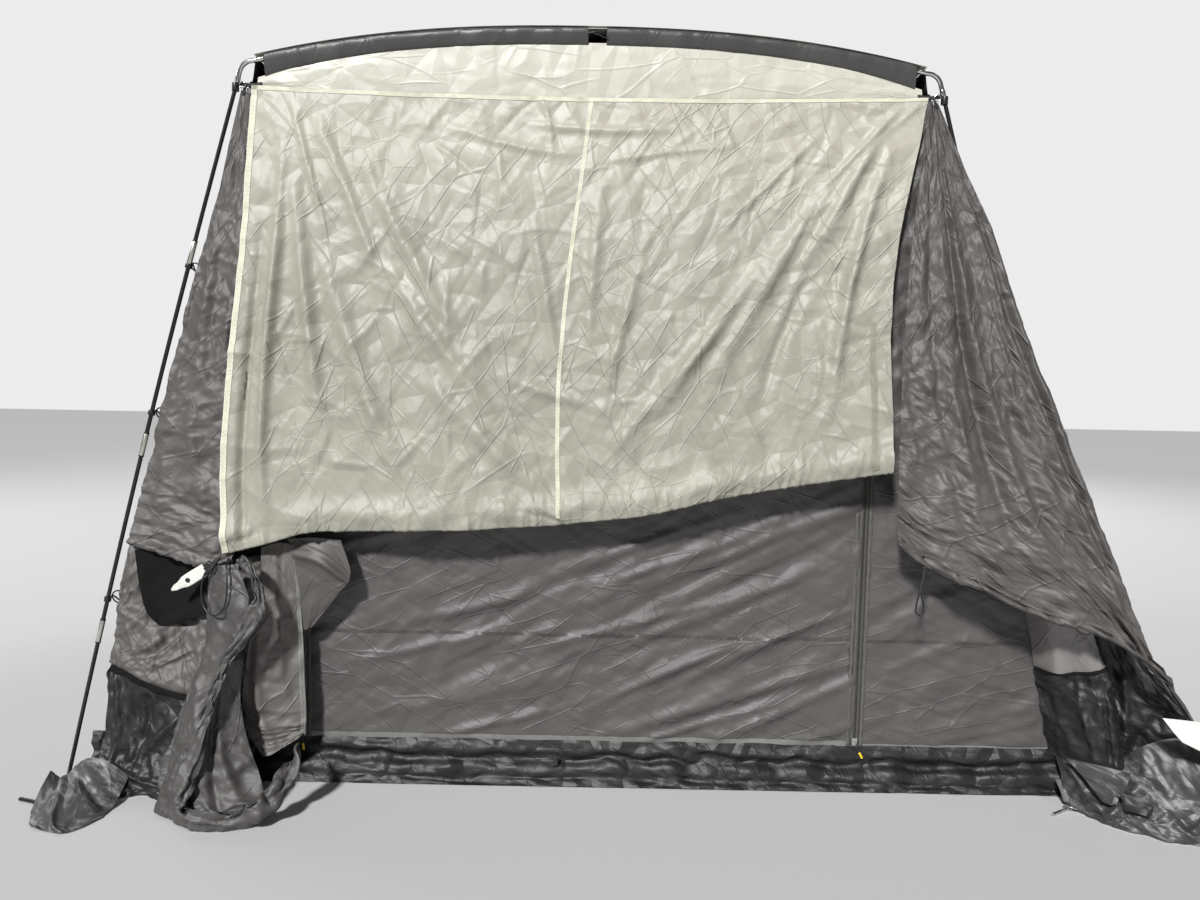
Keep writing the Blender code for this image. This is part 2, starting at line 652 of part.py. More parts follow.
def build_tab():
    """White tab with an eyelet at the end of the left tunnel wall's hem."""
    half_l, half_w, half_t = TAB_HALF
    outline = [(-half_l, -half_w), (half_l * 0.6, -half_w), (half_l, -half_w * 0.3), (half_l, half_w * 0.3),
               (half_l * 0.6, half_w), (-half_l, half_w)]
    length = math.hypot(*TAB_RUN)
    ux, uz = TAB_RUN[0] / length, TAB_RUN[1] / length
    x, middle, z = TAB_CENTRE
    verts = []
    for y in (middle - half_t, middle + half_t):
        verts += [(x + a * ux - b * uz, y, z + a * uz + b * ux) for a, b in outline]
    count = len(outline)
    faces = [tuple(range(count)), tuple(range(2 * count - 1, count - 1, -1))]
    faces += [(k, (k + 1) % count, (k + 1) % count + count, k + count) for k in range(count)]
    add_object("tunnel_tab", verts, faces, WHITE)


def smooth_route(route):
    """Points of one smooth curve through a cord's route."""
    before = [2 * p - q for p, q in zip(route[0], route[1])]
    after = [2 * p - q for p, q in zip(route[-1], route[-2])]
    knots = [before, *route, after]
    points = []
    for a, b, c, d in zip(knots, knots[1:], knots[2:], knots[3:]):
        for k in range(CORD_STEPS):
            t = k / CORD_STEPS
            points.append([0.5 * (2 * q + (r - p) * t + (2 * p - 5 * q + 4 * r - s) * t ** 2
                                  + (3 * q - p - 3 * r + s) * t ** 3) for p, q, r, s in zip(a, b, c, d)])
    points.append(list(route[-1]))
    return points


def cord(name, route):
    """Plain tube along a free cord's route."""
    points = smooth_route(route)
    curve = bpy.data.curves.new(name, "CURVE")
    curve.dimensions = "3D"
    curve.bevel_depth = CORD_R
    curve.bevel_resolution = 2
    curve.use_fill_caps = True
    spline = curve.splines.new("POLY")
    spline.points.add(len(points) - 1)
    for point, place in zip(spline.points, points):
        point.co = (*place, 1.0)
    curve.materials.append(material(WEBBING))
    bpy.context.collection.objects.link(bpy.data.objects.new(name, curve))


def build_cords():
    """Loop at the left hem's buckle, and the strap with its loop at the right hem."""
    cord("buckle_loop", BUCKLE_LOOP)
    half_w, half_t = HEM_STRAP_HALF
    rings = [[(x - half_w, y - half_t, z), (x + half_w, y - half_t, z), (x + half_w, y + half_t, z),
              (x - half_w, y + half_t, z)] for x, y, z in HEM_STRAP]
    closed_tube("hem_strap_right", rings, WEBBING)
    cord("hem_strap_loop_right", HEM_LOOP)


def build_corner_ties():
    """Short webbing straps from the fabric's top corners to the legs."""
    for side, word in ((LEFT, "left"), (RIGHT, "right")):
        leg = leg_point(RIGHT, REAR, EAVE_Z)
        stop = leg[0] - ELBOW_R - SEAM_GAP
        near = -(FABRIC_T / 2 + GAP)
        verts = []
        for x in (TIE_START, stop):
            for y in (near, near - TIE_T):
                for z in TIE_HEIGHTS:
                    verts.append((side * x, y, z))
        faces = [(0, 1, 3, 2), (4, 6, 7, 5), (0, 4, 5, 1), (2, 3, 7, 6), (0, 2, 6, 4), (1, 5, 7, 3)]
        add_object(f"corner_tie_{word}", verts, faces, WEBBING)


def build_pegs():
    """Rod of the left skirt corner, and the ring and pin at the right foot."""
    tube("peg_left", PEG_LEFT_PATH, [PEG_LEFT_R] * len(PEG_LEFT_PATH), GLASSFIBRE)
    tube("peg_right", PEG_RIGHT_PATH, [PEG_RIGHT_R] * len(PEG_RIGHT_PATH), STEEL)


def main():
    """Build the awning."""
    clear_scene()
    for end, prefix in ((REAR, "rear"), (FRONT, "front")):
        build_arch(end, prefix)
        gap_left = SLEEVE_GAP_CENTRE - SLEEVE_GAP_HALF
        gap_right = SLEEVE_GAP_CENTRE + SLEEVE_GAP_HALF
        build_sleeve(end, -SLEEVE_END, gap_left, f"{prefix}_sleeve_left")
        build_sleeve(end, gap_right, SLEEVE_END, f"{prefix}_sleeve_right")
        build_gable(end, prefix)
        build_end_wall(end, prefix)
    build_ridge_pole()
    build_roof()
    build_side(LEFT, "left")
    build_side(RIGHT, "right")
    build_tunnel_roof()
    build_tunnel_walls()
    build_corner_flap()
    build_zip(DOOR_LEFT, "left")
    build_zip(DOOR_RIGHT, "right")
    build_tab()
    build_corner_ties()
    build_pegs()
    build_cords()


main()
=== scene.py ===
"""Looks of the drive-away awning: creased cloth, shiny skirts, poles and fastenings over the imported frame."""

import logging
import math
from collections.abc import Callable, Iterable, Sequence
from dataclasses import dataclass, replace
from enum import Enum

import bpy
import numpy as np
from mathutils import Matrix, Vector

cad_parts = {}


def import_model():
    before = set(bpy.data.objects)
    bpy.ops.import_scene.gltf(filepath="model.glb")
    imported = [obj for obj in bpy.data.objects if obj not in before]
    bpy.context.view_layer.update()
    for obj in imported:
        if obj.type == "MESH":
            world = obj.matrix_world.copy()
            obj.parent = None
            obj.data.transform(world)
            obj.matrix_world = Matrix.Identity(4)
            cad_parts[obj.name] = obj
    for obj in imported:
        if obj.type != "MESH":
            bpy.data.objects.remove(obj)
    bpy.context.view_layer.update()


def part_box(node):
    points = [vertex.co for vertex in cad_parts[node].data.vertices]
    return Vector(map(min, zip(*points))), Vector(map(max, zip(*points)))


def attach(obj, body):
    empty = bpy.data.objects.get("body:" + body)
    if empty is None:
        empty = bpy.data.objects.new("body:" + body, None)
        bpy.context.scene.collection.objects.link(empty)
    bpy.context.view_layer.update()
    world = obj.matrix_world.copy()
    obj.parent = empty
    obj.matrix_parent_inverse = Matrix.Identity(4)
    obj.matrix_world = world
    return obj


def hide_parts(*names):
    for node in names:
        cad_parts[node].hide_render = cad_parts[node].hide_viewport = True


log = logging.getLogger("awning")

Point = tuple[float, float, float]
Rows = Sequence[Sequence[Point]]
Colour = tuple[float, float, float]

SEED = 20
CLOTH_UV = "cloth"
FULL = (0.0, 1.0)
CLIP_HEIGHTS = (0.53, 1.053, 1.458)
RIDGE_X = 0.018
RIDGE_R = 0.0055
FINE_STEP = 0.0056
WALL_STEP = 0.0080
PLAIN_STEP = 0.018
LEAST_SHARE = 0.12
VALLEY_SHARE = 0.4
ROUND_CREST = 1.6
SHARP_CREST = 1.9
FOLD_FADE = 1.3
EDGE_FADE = 0.8
OCTAVE = 0.52
HEM_STEPS = 7
FLOOR_GAP = 0.0006
SEAM_LIFT = 0.0010
PANEL_SEAM = 0.012
BEVEL_ANGLE = math.radians(35)
SMOOTH_ANGLE = math.radians(40)
RING_SMOOTH_ANGLE = math.radians(60)


class Side(Enum):
    """Side of the awning, seen from the vehicle."""

    LEFT = -1
    RIGHT = 1

    @property
    def word(self) -> str:
        """Word that names carry."""
        return self.name.lower()


class End(Enum):
    """End of the body; the tunnel hangs at the rear."""

    REAR = -1
    FRONT = 1

    @property
    def word(self) -> str:
        """Word that names carry."""
        return self.name.lower()


class Hold(Enum):
    HUNG = "hung"
    GATHERED = "gathered"
    LAID = "laid"
    STRETCHED = "stretched"
    FOLDED = "folded"


class Body(Enum):
    """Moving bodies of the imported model."""

    AWNING = "awning"
    SLIDER_LEFT = "zip_slider_left"
    SLIDER_RIGHT = "zip_slider_right"


@dataclass(frozen=True)
class PolePlan:
    """Lines of the pole frame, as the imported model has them."""

    depth: float = 2.40
    crown_z: float = 2.106
    arch_half: float = 0.90
    arch_rise: float = 0.087
    arch_power: float = 2.4
    eave_half: float = 0.964
    eave_z: float = 1.955
    foot_half: float = 1.444
    foot_splay: float = 0.083
    leg_bow: float = 0.014
    wall_inset: float = 0.030
    wall_scallop: float = 0.022
    clip_pitch: float = 0.49

    def arch_z(self, x: float) -> float:
        """Height of the roof pole's middle line at x."""
        return self.crown_z - self.arch_rise * abs(x / self.arch_half) ** self.arch_power

    def leg_point(self, side: Side, end: End, z: float) -> Vector:
        """Point of a leg's middle line.

        Args:
            side: side of the awning.
            end: end of the body.
            z: height above the floor.

        Returns:
            The point in the frame.
        """
        share = 1.0 - z / self.eave_z
        bow = self.leg_bow * math.sin(math.pi * share)
        x = self.eave_half + (self.foot_half - self.eave_half) * share + bow
        return Vector((side.value * x, self.plane_y(end) + end.value * self.foot_splay * share, z))

    def corner_x(self, z: float) -> float:
        """Distance from the middle to the body's corner edge at height z."""
        leg = self.leg_point(Side.RIGHT, End.REAR, min(z, self.eave_z)).x
        return leg - self.wall_inset - self.wall_scallop * abs(math.sin(math.pi * z / self.clip_pitch))

    def plane_y(self, end: End) -> float:
        """Y of an end wall's plane."""
        return 0.0 if end is End.REAR else self.depth


PLAN = PolePlan()


def blend(a: float, b: float, share: float) -> float:
    """Number at a share of the way from a to b."""
    return a + (b - a) * share


def along(points: Sequence[Sequence[float]], share: float) -> tuple[float, ...]:
    """Point at a share of a list of evenly counted points.

    Args:
        points: the points.
        share: place on them, from 0 to 1.

    Returns:
        The blended point.
    """
    place = share * (len(points) - 1)
    first = min(int(place), len(points) - 2)
    return tuple(blend(a, b, place - first) for a, b in zip(points[first], points[first + 1]))


def mm(table: Sequence) -> np.ndarray:
    """Turn a table of points in millimetres into metres."""
    return np.array(table, float) / 1000


class Value:
    """Wraps a node socket, so that shader maths reads as an expression."""

    def __init__(self, graph: "Graph", socket: bpy.types.NodeSocket) -> None:
        """Keep the graph and the socket."""
        self.graph = graph
        self.socket = socket

    def __add__(self, other: "Value | float") -> "Value":
        """Sum."""
        return self.graph.math("ADD", self, other)

    def __radd__(self, other: float) -> "Value":
        """Sum with a number first."""
        return self.graph.math("ADD", other, self)

    def __sub__(self, other: "Value | float") -> "Value":
        """Difference."""
        return self.graph.math("SUBTRACT", self, other)

    def __rsub__(self, other: float) -> "Value":
        """Difference with a number first."""
        return self.graph.math("SUBTRACT", other, self)

    def __mul__(self, other: "Value | float") -> "Value":
        """Product."""
        return self.graph.math("MULTIPLY", self, other)

    def __rmul__(self, other: float) -> "Value":
        """Product with a number first."""
        return self.graph.math("MULTIPLY", other, self)

    def __truediv__(self, other: "Value | float") -> "Value":
        """Quotient."""
        return self.graph.math("DIVIDE", self, other)

    def __pow__(self, other: float) -> "Value":
        """Power."""
        return self.graph.math("POWER", self, other)

    def ramp(self, low: float, high: float) -> "Value":
        """Smooth step of this value.

        Args:
            low: value that becomes 0.
            high: value that becomes 1.

        Returns:
            The stepped value.
        """
        return self.graph.node(
            "ShaderNodeMapRange",
            {"interpolation_type": "SMOOTHSTEP"},
            {"Value": self, "From Min": low, "From Max": high},
            "Result",
        )


class Graph:
    """Node tree of one material round its Principled shader."""

    def __init__(self, name: str) -> None:
        """Start an empty material of that name."""
        self.material = bpy.data.materials.new(name)
        self.material.use_nodes = True
        self.tree = self.material.node_tree
        self.shader = self.tree.nodes["Principled BSDF"]

    def put(self, socket: bpy.types.NodeSocket, value: "Value | float | Sequence[float]") -> None:
        """Link or set one input socket."""
        if isinstance(value, Value):
            self.tree.links.new(value.socket, socket)
        else:
            socket.default_value = value

    def node(self, kind: str, settings: dict, inputs: dict, output: str | int = 0) -> Value:
        """Add a node.

        Args:
            kind: type of the node.
            settings: its properties, set first.
            inputs: values or links of its sockets, by name or place.
            output: the output that is wanted.

        Returns:
            The wanted output.
        """
        made = self.tree.nodes.new(kind)
        for key, setting in settings.items():
            setattr(made, key, setting)
        for key, value in inputs.items():
            self.put(made.inputs[key], value)
        return Value(self, made.outputs[output])

    def math(self, operation: str, *values: "Value | float") -> Value:
        """Add a Math node on the given values."""
        return self.node("ShaderNodeMath", {"operation": operation}, dict(enumerate(values)))

    def mix(self, factor: "Value | float", a: "Value | Colour", b: "Value | Colour") -> Value:
        """Mix two colours.

        Args:
            factor: share of b.
            a: first colour.
            b: second colour.

        Returns:
            The mixed colour.
        """
        made = self.tree.nodes.new("ShaderNodeMix")
        made.data_type = "RGBA"
        self.put(made.inputs["Factor"], factor)
        for socket, colour in ((made.inputs[6], a), (made.inputs[7], b)):
            self.put(socket, colour if isinstance(colour, Value) else (*colour, 1.0))
        return Value(self, made.outputs[2])

    def cloth_place(self) -> Value:
        """Place on the flat cloth in metres."""
        return self.node("ShaderNodeUVMap", {"uv_map": CLOTH_UV}, {}, "UV")

    def object_place(self) -> Value:
        """Place in the frame in metres."""
        return self.node("ShaderNodeTexCoord", {}, {}, "Object")

    def noise(self, place: Value, scale: float, detail: float = 3.0, rough: float = 0.5,
              flat: bool = True) -> Value:
        """Soft noise from 0 to 1 at so many cells a metre."""
        return self.node("ShaderNodeTexNoise", {"noise_dimensions": "2D" if flat else "3D"},
                         {"Vector": place, "Scale": scale, "Detail": detail, "Roughness": rough}, "Fac")

    def stretch(self, place: Value, run: float, turn: float) -> Value:
        """Turn a place in its plane, then draw the pattern on it out along its new first axis.

        Args:
            place: the place.
            run: scale along the drawn-out axis, under 1 for longer cells.
            turn: angle in radians.

        Returns:
            The changed place.
        """
        turned = self.node("ShaderNodeMapping", {}, {"Vector": place, "Rotation": (0.0, 0.0, turn)}, "Vector")
        return self.node("ShaderNodeMapping", {}, {"Vector": turned, "Scale": (run, 1.0, 1.0)}, "Vector")

    def warp(self, place: Value, scale: float, reach: float) -> Value:
        """Shift a place by noise, so that a pattern on it bends.

        Args:
            place: the place.
            scale: cells a metre of the noise.
            reach: furthest shift in metres.

        Returns:
            The shifted place.
        """
        noise = self.node("ShaderNodeTexNoise", {"noise_dimensions": "2D"},
                          {"Vector": place, "Scale": scale, "Detail": 2.0}, "Color")
        shift = self.node("ShaderNodeVectorMath", {"operation": "SCALE"}, {0: noise, "Scale": 2 * reach})
        return self.node("ShaderNodeVectorMath", {"operation": "ADD"}, {0: place, 1: shift})

    def axis(self, place: Value, letter: str) -> Value:
        """One coordinate of a place."""
        return self.node("ShaderNodeSeparateXYZ", {}, {0: place}, letter)

    def edge_distance(self, place: Value, scale: float) -> Value:
        """Distance to the nearest edge of cells, in cells, at so many cells a metre."""
        return self.node("ShaderNodeTexVoronoi", {"feature": "DISTANCE_TO_EDGE", "voronoi_dimensions": "2D"},
                         {"Vector": place, "Scale": scale}, "Distance")

    def facets(self, place: Value, scale: float, slope: float) -> Value:
        """Height of flat facets that meet in sharp lines, as crumpled paper has them.

        Args:
            place: where the facets are read.
            scale: cells a metre.
            slope: steepness of a facet.

        Returns:
            Height in metres.
        """
        return self.edge_distance(place, scale) * (slope / scale)

    def creases(self, place: Value, scale: float, width: float, height: float) -> Value:
        """Height of thin sharp creases that part flat fields.

        Args:
            place: where the creases are read.
            scale: fields a metre.
            width: half width of a crease in metres.
            height: height of a crease in metres.

        Returns:
            Height in metres.
        """
        edge = self.edge_distance(place, scale)
        return (1.0 - edge.ramp(0.0, width * scale)) * height

    def bump(self, height: Value, distance: float, strength: float = 1.0) -> None:
        """Feed a height to the shader's normal."""
        normal = self.node("ShaderNodeBump", {}, {"Height": height, "Distance": distance,
                                                  "Strength": strength}, "Normal")
        self.put(self.shader.inputs["Normal"], normal)

    def feed(self, **sockets: "Value | float | Colour") -> None:
        """Set the shader's sockets by name, an underscore standing for a space."""
        for name, value in sockets.items():
            if isinstance(value, tuple) and len(value) == 3:
                value = (*value, 1.0)
            self.put(self.shader.inputs[name.replace("_", " ")], value)


FINISHES: dict[str, bpy.types.Material] = {}


def finish_of(finish: "Finish") -> bpy.types.Material:
    """Return the material of a finish, made on its first use."""
    if finish.name not in FINISHES:
        FINISHES[finish.name] = finish.make()
    return FINISHES[finish.name]


@dataclass(frozen=True)
class Finish:
    """A named finish that can make its material."""

    name: str

    def make(self) -> bpy.types.Material:
        """Make the material."""
        raise NotImplementedError


@dataclass(frozen=True)
class CoatedCloth(Finish):
    """Thin coated polyester with the creases of packing."""

    colour: Colour
    low_colour: Colour
    worn_colour: Colour
    roughness: float
    crease: float
    wear: float = 0.5
    low_z: float = 0.7
    high_z: float = 1.9
    coarse: float = 10.0
    fine: float = 34.0
    slants: tuple[float, float] = (1.0, -0.95)
    sheen: float = 0.5

    def make(self) -> bpy.types.Material:
        """Make the material."""
        g = Graph(self.name)
        flat = g.cloth_place()
        bent = g.warp(flat, 4.0, 0.012)
        patches = g.noise(flat, 3.0, 2.0)
        steep = self.crease
        height = g.facets(bent, self.coarse, 0.11 * steep)
        height = height + g.creases(bent, self.fine * 0.5, 0.0035, 0.0007 * steep) * patches.ramp(0.50, 0.66)
        for turn in self.slants:
            sparse = g.noise(g.stretch(flat, 0.5, turn + 0.4), 5.0, 2.0).ramp(0.44, 0.60)
            lines = g.creases(g.stretch(bent, 0.26, turn), self.fine * 0.5, 0.0032, 0.0015 * steep)
            height = height + lines * sparse
        height = height + g.noise(flat, 120.0, 2.0) * (0.0003 * steep)
        g.bump(height, 1.0)
        # Painted shade: the base colour blends from the low colour at low_z up to the main colour at high_z, so
        # a cloth with a darker low colour is painted darker lower down.
        place = g.axis(g.object_place(), "Z")
        shaded_tone = g.mix(place.ramp(self.low_z, self.high_z), self.low_colour, self.colour)
        worn = g.noise(flat, 7.0, 4.0).ramp(0.45, 0.8) * self.wear
        g.feed(Base_Color=g.mix(worn, shaded_tone, self.worn_colour),
               Roughness=self.roughness + (patches - 0.5) * 0.16)
        g.feed(Specular_IOR_Level=self.sheen)
        return g.material


@dataclass(frozen=True)
class SkirtFilm(Finish):
    """Woven polythene skirt, crumpled and shiny, whitened along its folds."""

    colour: Colour
    worn_colour: Colour
    roughness: float
    crease: float
    wear: float = 0.4

    def make(self) -> bpy.types.Material:
        """Make the material."""
        g = Graph(self.name)
        flat = g.cloth_place()
        bent = g.warp(flat, 6.0, 0.012)
        long_facets = g.facets(bent, 11.0, 0.20 * self.crease)
        coarse = long_facets + g.facets(g.stretch(bent, 0.3, 0.2), 24.0, 0.16 * self.crease)
        lines = g.creases(g.stretch(bent, 0.25, 0.9), 20.0, 0.003, 0.0010 * self.crease)
        fine = lines * g.noise(flat, 6.0).ramp(0.45, 0.6)
        g.bump(coarse + fine + g.noise(flat, 90.0, 2.0) * (0.0005 * self.crease), 1.0)
        streaks = g.noise(g.stretch(bent, 0.4, 0.5), 22.0, 5.0, 0.7).ramp(0.5, 0.78)
        worn = streaks * self.wear
        g.feed(Base_Color=g.mix(worn, self.colour, self.worn_colour),
               Roughness=self.roughness + worn * 0.2)
        g.feed(Specular_IOR_Level=0.65)
        return g.material


@dataclass(frozen=True)
class PlainFinish(Finish):
    """Rigid finish: metal, moulded plastic or drawn rod."""

    colour: Colour
    worn_colour: Colour
    roughness: float
    metallic: float = 0.0
    grain: float = 60.0
    relief: float = 0.0001
    wear: float = 0.35

    def make(self) -> bpy.types.Material:
        """Make the material."""
        g = Graph(self.name)
        place = g.object_place()
        scuff = g.noise(place, self.grain, 3.0, 0.65, flat=False)
        broad = g.noise(place, self.grain / 8, 2.0, flat=False)
        worn = scuff.ramp(0.52, 0.75) * broad.ramp(0.3, 0.7) * self.wear
        g.bump(scuff, self.relief)
        g.feed(Base_Color=g.mix(worn, self.colour, self.worn_colour),
               Roughness=self.roughness + (broad - 0.5) * 0.18 + worn * 0.2, Metallic=self.metallic)
        return g.material


@dataclass(frozen=True)
class Tape(Finish):
    """Woven tape or webbing with a rib across it and a row of stitches near each edge."""

    colour: Colour
    stitch_colour: Colour
    width: float
    roughness: float = 0.7
    rib: float = 0.0012
    stitch: float = 0.006

    def make(self) -> bpy.types.Material:
        """Make the material."""
        g = Graph(self.name)
        flat = g.cloth_place()
        across = g.axis(flat, "X")
        down = g.axis(flat, "Y")
        ribs = g.math("SINE", down * (2 * math.pi / self.rib))
        middle = g.math("ABSOLUTE", across - self.width / 2)
        row = 1.0 - g.math("ABSOLUTE", middle - self.width * 0.34).ramp(self.width * 0.04, self.width * 0.10)
        dash = g.math("SINE", down * (2 * math.pi / self.stitch)).ramp(-0.2, 0.3)
        threads = row * dash
        soil = g.noise(flat, 40.0, 4.0)
        g.bump(ribs * 0.15 + threads * 0.8 + soil * 0.5, 0.0006)
        base = g.mix(soil.ramp(0.35, 0.7) * 0.3, self.colour, tuple(0.7 * c for c in self.colour))
        g.feed(Base_Color=g.mix(threads, base, self.stitch_colour),
               Roughness=self.roughness + (soil - 0.5) * 0.2)
        return g.material


# The cream's darker low colour is painted shade: the hanging sheet is painted darker from 1.88 m down to 1.3 m,
# where less light falls on it.
CREAM = CoatedCloth("cream_cloth", (0.415, 0.399, 0.336), (0.312, 0.308, 0.255), (0.48, 0.472, 0.396),
                    0.50, 1.0, wear=0.3, low_z=1.3, high_z=1.88)
CREAM_TOP = CoatedCloth("cream_top_cloth", (0.535, 0.522, 0.446), (0.535, 0.522, 0.446),
                        (0.625, 0.616, 0.535), 0.46, 0.6, wear=0.3, slants=(0.1, -0.1))
GREY = CoatedCloth("grey_cloth", (0.075, 0.068, 0.064), (0.077, 0.071, 0.067), (0.13, 0.12, 0.117), 0.60, 1.1,
                   wear=0.25, sheen=0.8)
GREY_BODY = CoatedCloth("grey_body_cloth", (0.072, 0.066, 0.064), (0.072, 0.066, 0.064), (0.12, 0.11, 0.11),
                        0.58, 0.7, wear=0.15, coarse=7.0, slants=(0.45, -0.45), sheen=0.8)
SLEEVE_CLOTH = CoatedCloth("sleeve_cloth", (0.055, 0.056, 0.054), (0.055, 0.056, 0.054),
                           (0.11, 0.11, 0.105), 0.42, 0.6, wear=0.3)
# Near-black cloth with little sheen: the real dark seams of the lower panels, and the sheet that paints the
# shade in the hollow under the left hem.
BLACK_SEAM_AND_SHADE = CoatedCloth("dark_lining", (0.010, 0.0095, 0.009), (0.010, 0.0095, 0.009),
                          (0.02, 0.019, 0.018), 0.9, 0.4, wear=0.2, sheen=0.1)
FILM = SkirtFilm("skirt_film", (0.008, 0.0082, 0.0084), (0.060, 0.061, 0.062), 0.54, 0.8, wear=0.5)
FILM_GREY = SkirtFilm("skirt_film_grey", (0.036, 0.037, 0.038), (0.36, 0.363, 0.37), 0.46, 0.8, wear=0.65)
FILM_THIN = SkirtFilm("thin_side_film", (0.13, 0.115, 0.095), (0.30, 0.28, 0.25), 0.42, 0.7, wear=0.5)
# Painted light: a lighter copy of the grey cloth, so the wing looks lit though the lamps leave it in the shade
# of the left wall.
WING_LIT_CLOTH = replace(GREY, name="wing_cloth", colour=(0.115, 0.105, 0.099), low_colour=(0.115, 0.105, 0.099),
                     worn_colour=(0.20, 0.185, 0.175), wear=0.35)
# Painted shade: a copy of the skirt film with darker whitened streaks, for the left skirt film in the shade of
# the bundle.
FILM_SHADED = replace(FILM, name="dark_skirt_film", worn_colour=(0.028, 0.0285, 0.029))
FILM_FLAP = replace(FILM_GREY, name="flap_film", colour=(0.062, 0.063, 0.065),
                    worn_colour=(0.56, 0.565, 0.57))
# Painted shade: a darker copy of the grey cloth for the loop, gathered folds and fold film of the bundle under
# the left tunnel wall, which lie in shade; its lighter worn patches are random.
GREY_SHADED = replace(GREY, name="deep_grey_cloth", colour=(0.050, 0.047, 0.045),
                    low_colour=(0.050, 0.047, 0.045), worn_colour=(0.15, 0.14, 0.135), wear=0.45)
ROD = PlainFinish("black_rod", (0.012, 0.012, 0.013), (0.05, 0.05, 0.05), 0.30)
BRIGHT_STEEL = PlainFinish("bright_steel", (0.72, 0.72, 0.71), (0.50, 0.49, 0.47), 0.20, 1.0, grain=90.0)
FERRULE_STEEL = PlainFinish("ferrule_steel", (0.66, 0.68, 0.62), (0.42, 0.42, 0.38), 0.34, 1.0, grain=120.0)
BLACK_PLASTIC = PlainFinish("black_plastic", (0.014, 0.014, 0.014), (0.05, 0.05, 0.05), 0.38)
YELLOW_PULL = PlainFinish("yellow_pull", (0.78, 0.55, 0.03), (0.55, 0.40, 0.05), 0.42, grain=160.0)
ZIP_COIL = PlainFinish("zip_coil", (0.045, 0.045, 0.042), (0.12, 0.12, 0.115), 0.33, grain=150.0)
WEBBING = Tape("black_webbing", (0.018, 0.018, 0.018), (0.05, 0.05, 0.05), 0.02)
ZIP_TAPE = Tape("zip_tape", (0.070, 0.066, 0.060), (0.14, 0.135, 0.125), 0.026, rib=0.0016, stitch=0.004)
SEAM_TAPE = Tape("cream_seam_tape", (0.62, 0.61, 0.48), (0.86, 0.85, 0.72), 0.011, roughness=0.5, rib=0.002,
                 stitch=0.010)
# Painted shade: a dark olive strip with tape stitches that stands in for the shaded band of a fold by the
# tunnel roof's right edge.
FOLD_SHADE_STRIP = Tape("shaded_side_tape", (0.26, 0.255, 0.195), (0.36, 0.355, 0.29), 0.020, roughness=0.5)
PALE_TAPE = Tape("pale_foot_tape", (0.20, 0.20, 0.19), (0.34, 0.34, 0.33), 0.012, roughness=0.4)
WHITE_WEB = Tape("white_tab_web", (0.80, 0.79, 0.74), (0.70, 0.69, 0.64), 0.034, roughness=0.55, rib=0.0015)
SEAM_CLOTH = CoatedCloth("seam_cloth", (0.060, 0.056, 0.053), (0.060, 0.056, 0.053), (0.11, 0.10, 0.10),
                         0.45, 0.5, wear=0.4)
LABEL_CLOTH = CoatedCloth("blank_label", (0.72, 0.70, 0.68), (0.72, 0.70, 0.68), (0.80, 0.78, 0.76), 0.6, 0.5,
                          wear=0.3)
PALE_FLOOR = PlainFinish("pale_floor", (0.52, 0.52, 0.52), (0.50, 0.50, 0.50), 0.8, grain=3.0, wear=0.2,
                         relief=0.0)


def hand_over(obj: bpy.types.Object, finish: Finish, body: Body = Body.AWNING,
              stands_for: Iterable[str] = ()) -> None:
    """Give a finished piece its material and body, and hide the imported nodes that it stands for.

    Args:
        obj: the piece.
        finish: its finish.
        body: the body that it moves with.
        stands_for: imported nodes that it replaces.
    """
    obj.data.materials.clear()
    obj.data.materials.append(finish_of(finish))
    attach(obj, body.value)
    nodes = tuple(stands_for)
    if nodes:
        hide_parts(*nodes)
    log.info("%s: %d faces, %s", obj.name, len(obj.data.polygons), finish.name)


@dataclass(frozen=True)
class Fold:
    """One fold line in a cloth's flat coordinates, u to the right and v down."""

    u: float
    v: float
    angle: float
    half_length: float
    half_width: float
    height: float
    bend: float = 0.0
    round_top: bool = True


@dataclass(frozen=True)
class FoldFamily:
    """Like folds scattered over a cloth."""

    per_metre: float
    half_length: tuple[float, float]
    half_width: tuple[float, float]
    height: tuple[float, float]
    angles: tuple[float, ...] = (0.0,)
    spread: float = math.pi
    bend: float = 0.5
    valleys: bool = True

    def scatter(self, rng: np.random.Generator, width: float, length: float) -> list[Fold]:
        """Scatter the family over a cloth.

        Args:
            rng: source of the random draws.
            width: width of the cloth.
            length: length of the cloth.

        Returns:
            The folds.
        """
        folds = []
        for _ in range(int(self.per_metre * width * length)):
            u, v = rng.uniform(0, width), rng.uniform(0, length)
            angle = self.angles[rng.integers(len(self.angles))] + rng.uniform(-self.spread, self.spread)
            height = rng.uniform(*self.height)
            if self.valleys and rng.random() < VALLEY_SHARE:
                height = -height
            folds.append(Fold(u, v, angle, rng.uniform(*self.half_length), rng.uniform(*self.half_width),
                              height, rng.uniform(-self.bend, self.bend), False))
        return folds


PACKING = FoldFamily(16, (0.07, 0.22), (0.006, 0.011), (0.0010, 0.0021), (1.05, -0.85, 0.75, 2.2), 0.20, 0.15)
SHORT = FoldFamily(300, (0.015, 0.050), (0.007, 0.014), (0.0010, 0.0026))
MEDIUM = FoldFamily(60, (0.04, 0.11), (0.010, 0.022), (0.0015, 0.0040), bend=2.0)
CRISP = FoldFamily(520, (0.012, 0.045), (0.006, 0.012), (0.0012, 0.0034))
HEAVY = replace(MEDIUM, per_metre=90, height=(0.003, 0.008))
THIN = replace(SHORT, per_metre=220)
SOFT = FoldFamily(14, (0.10, 0.28), (0.018, 0.040), (0.0020, 0.0050), bend=0.8)


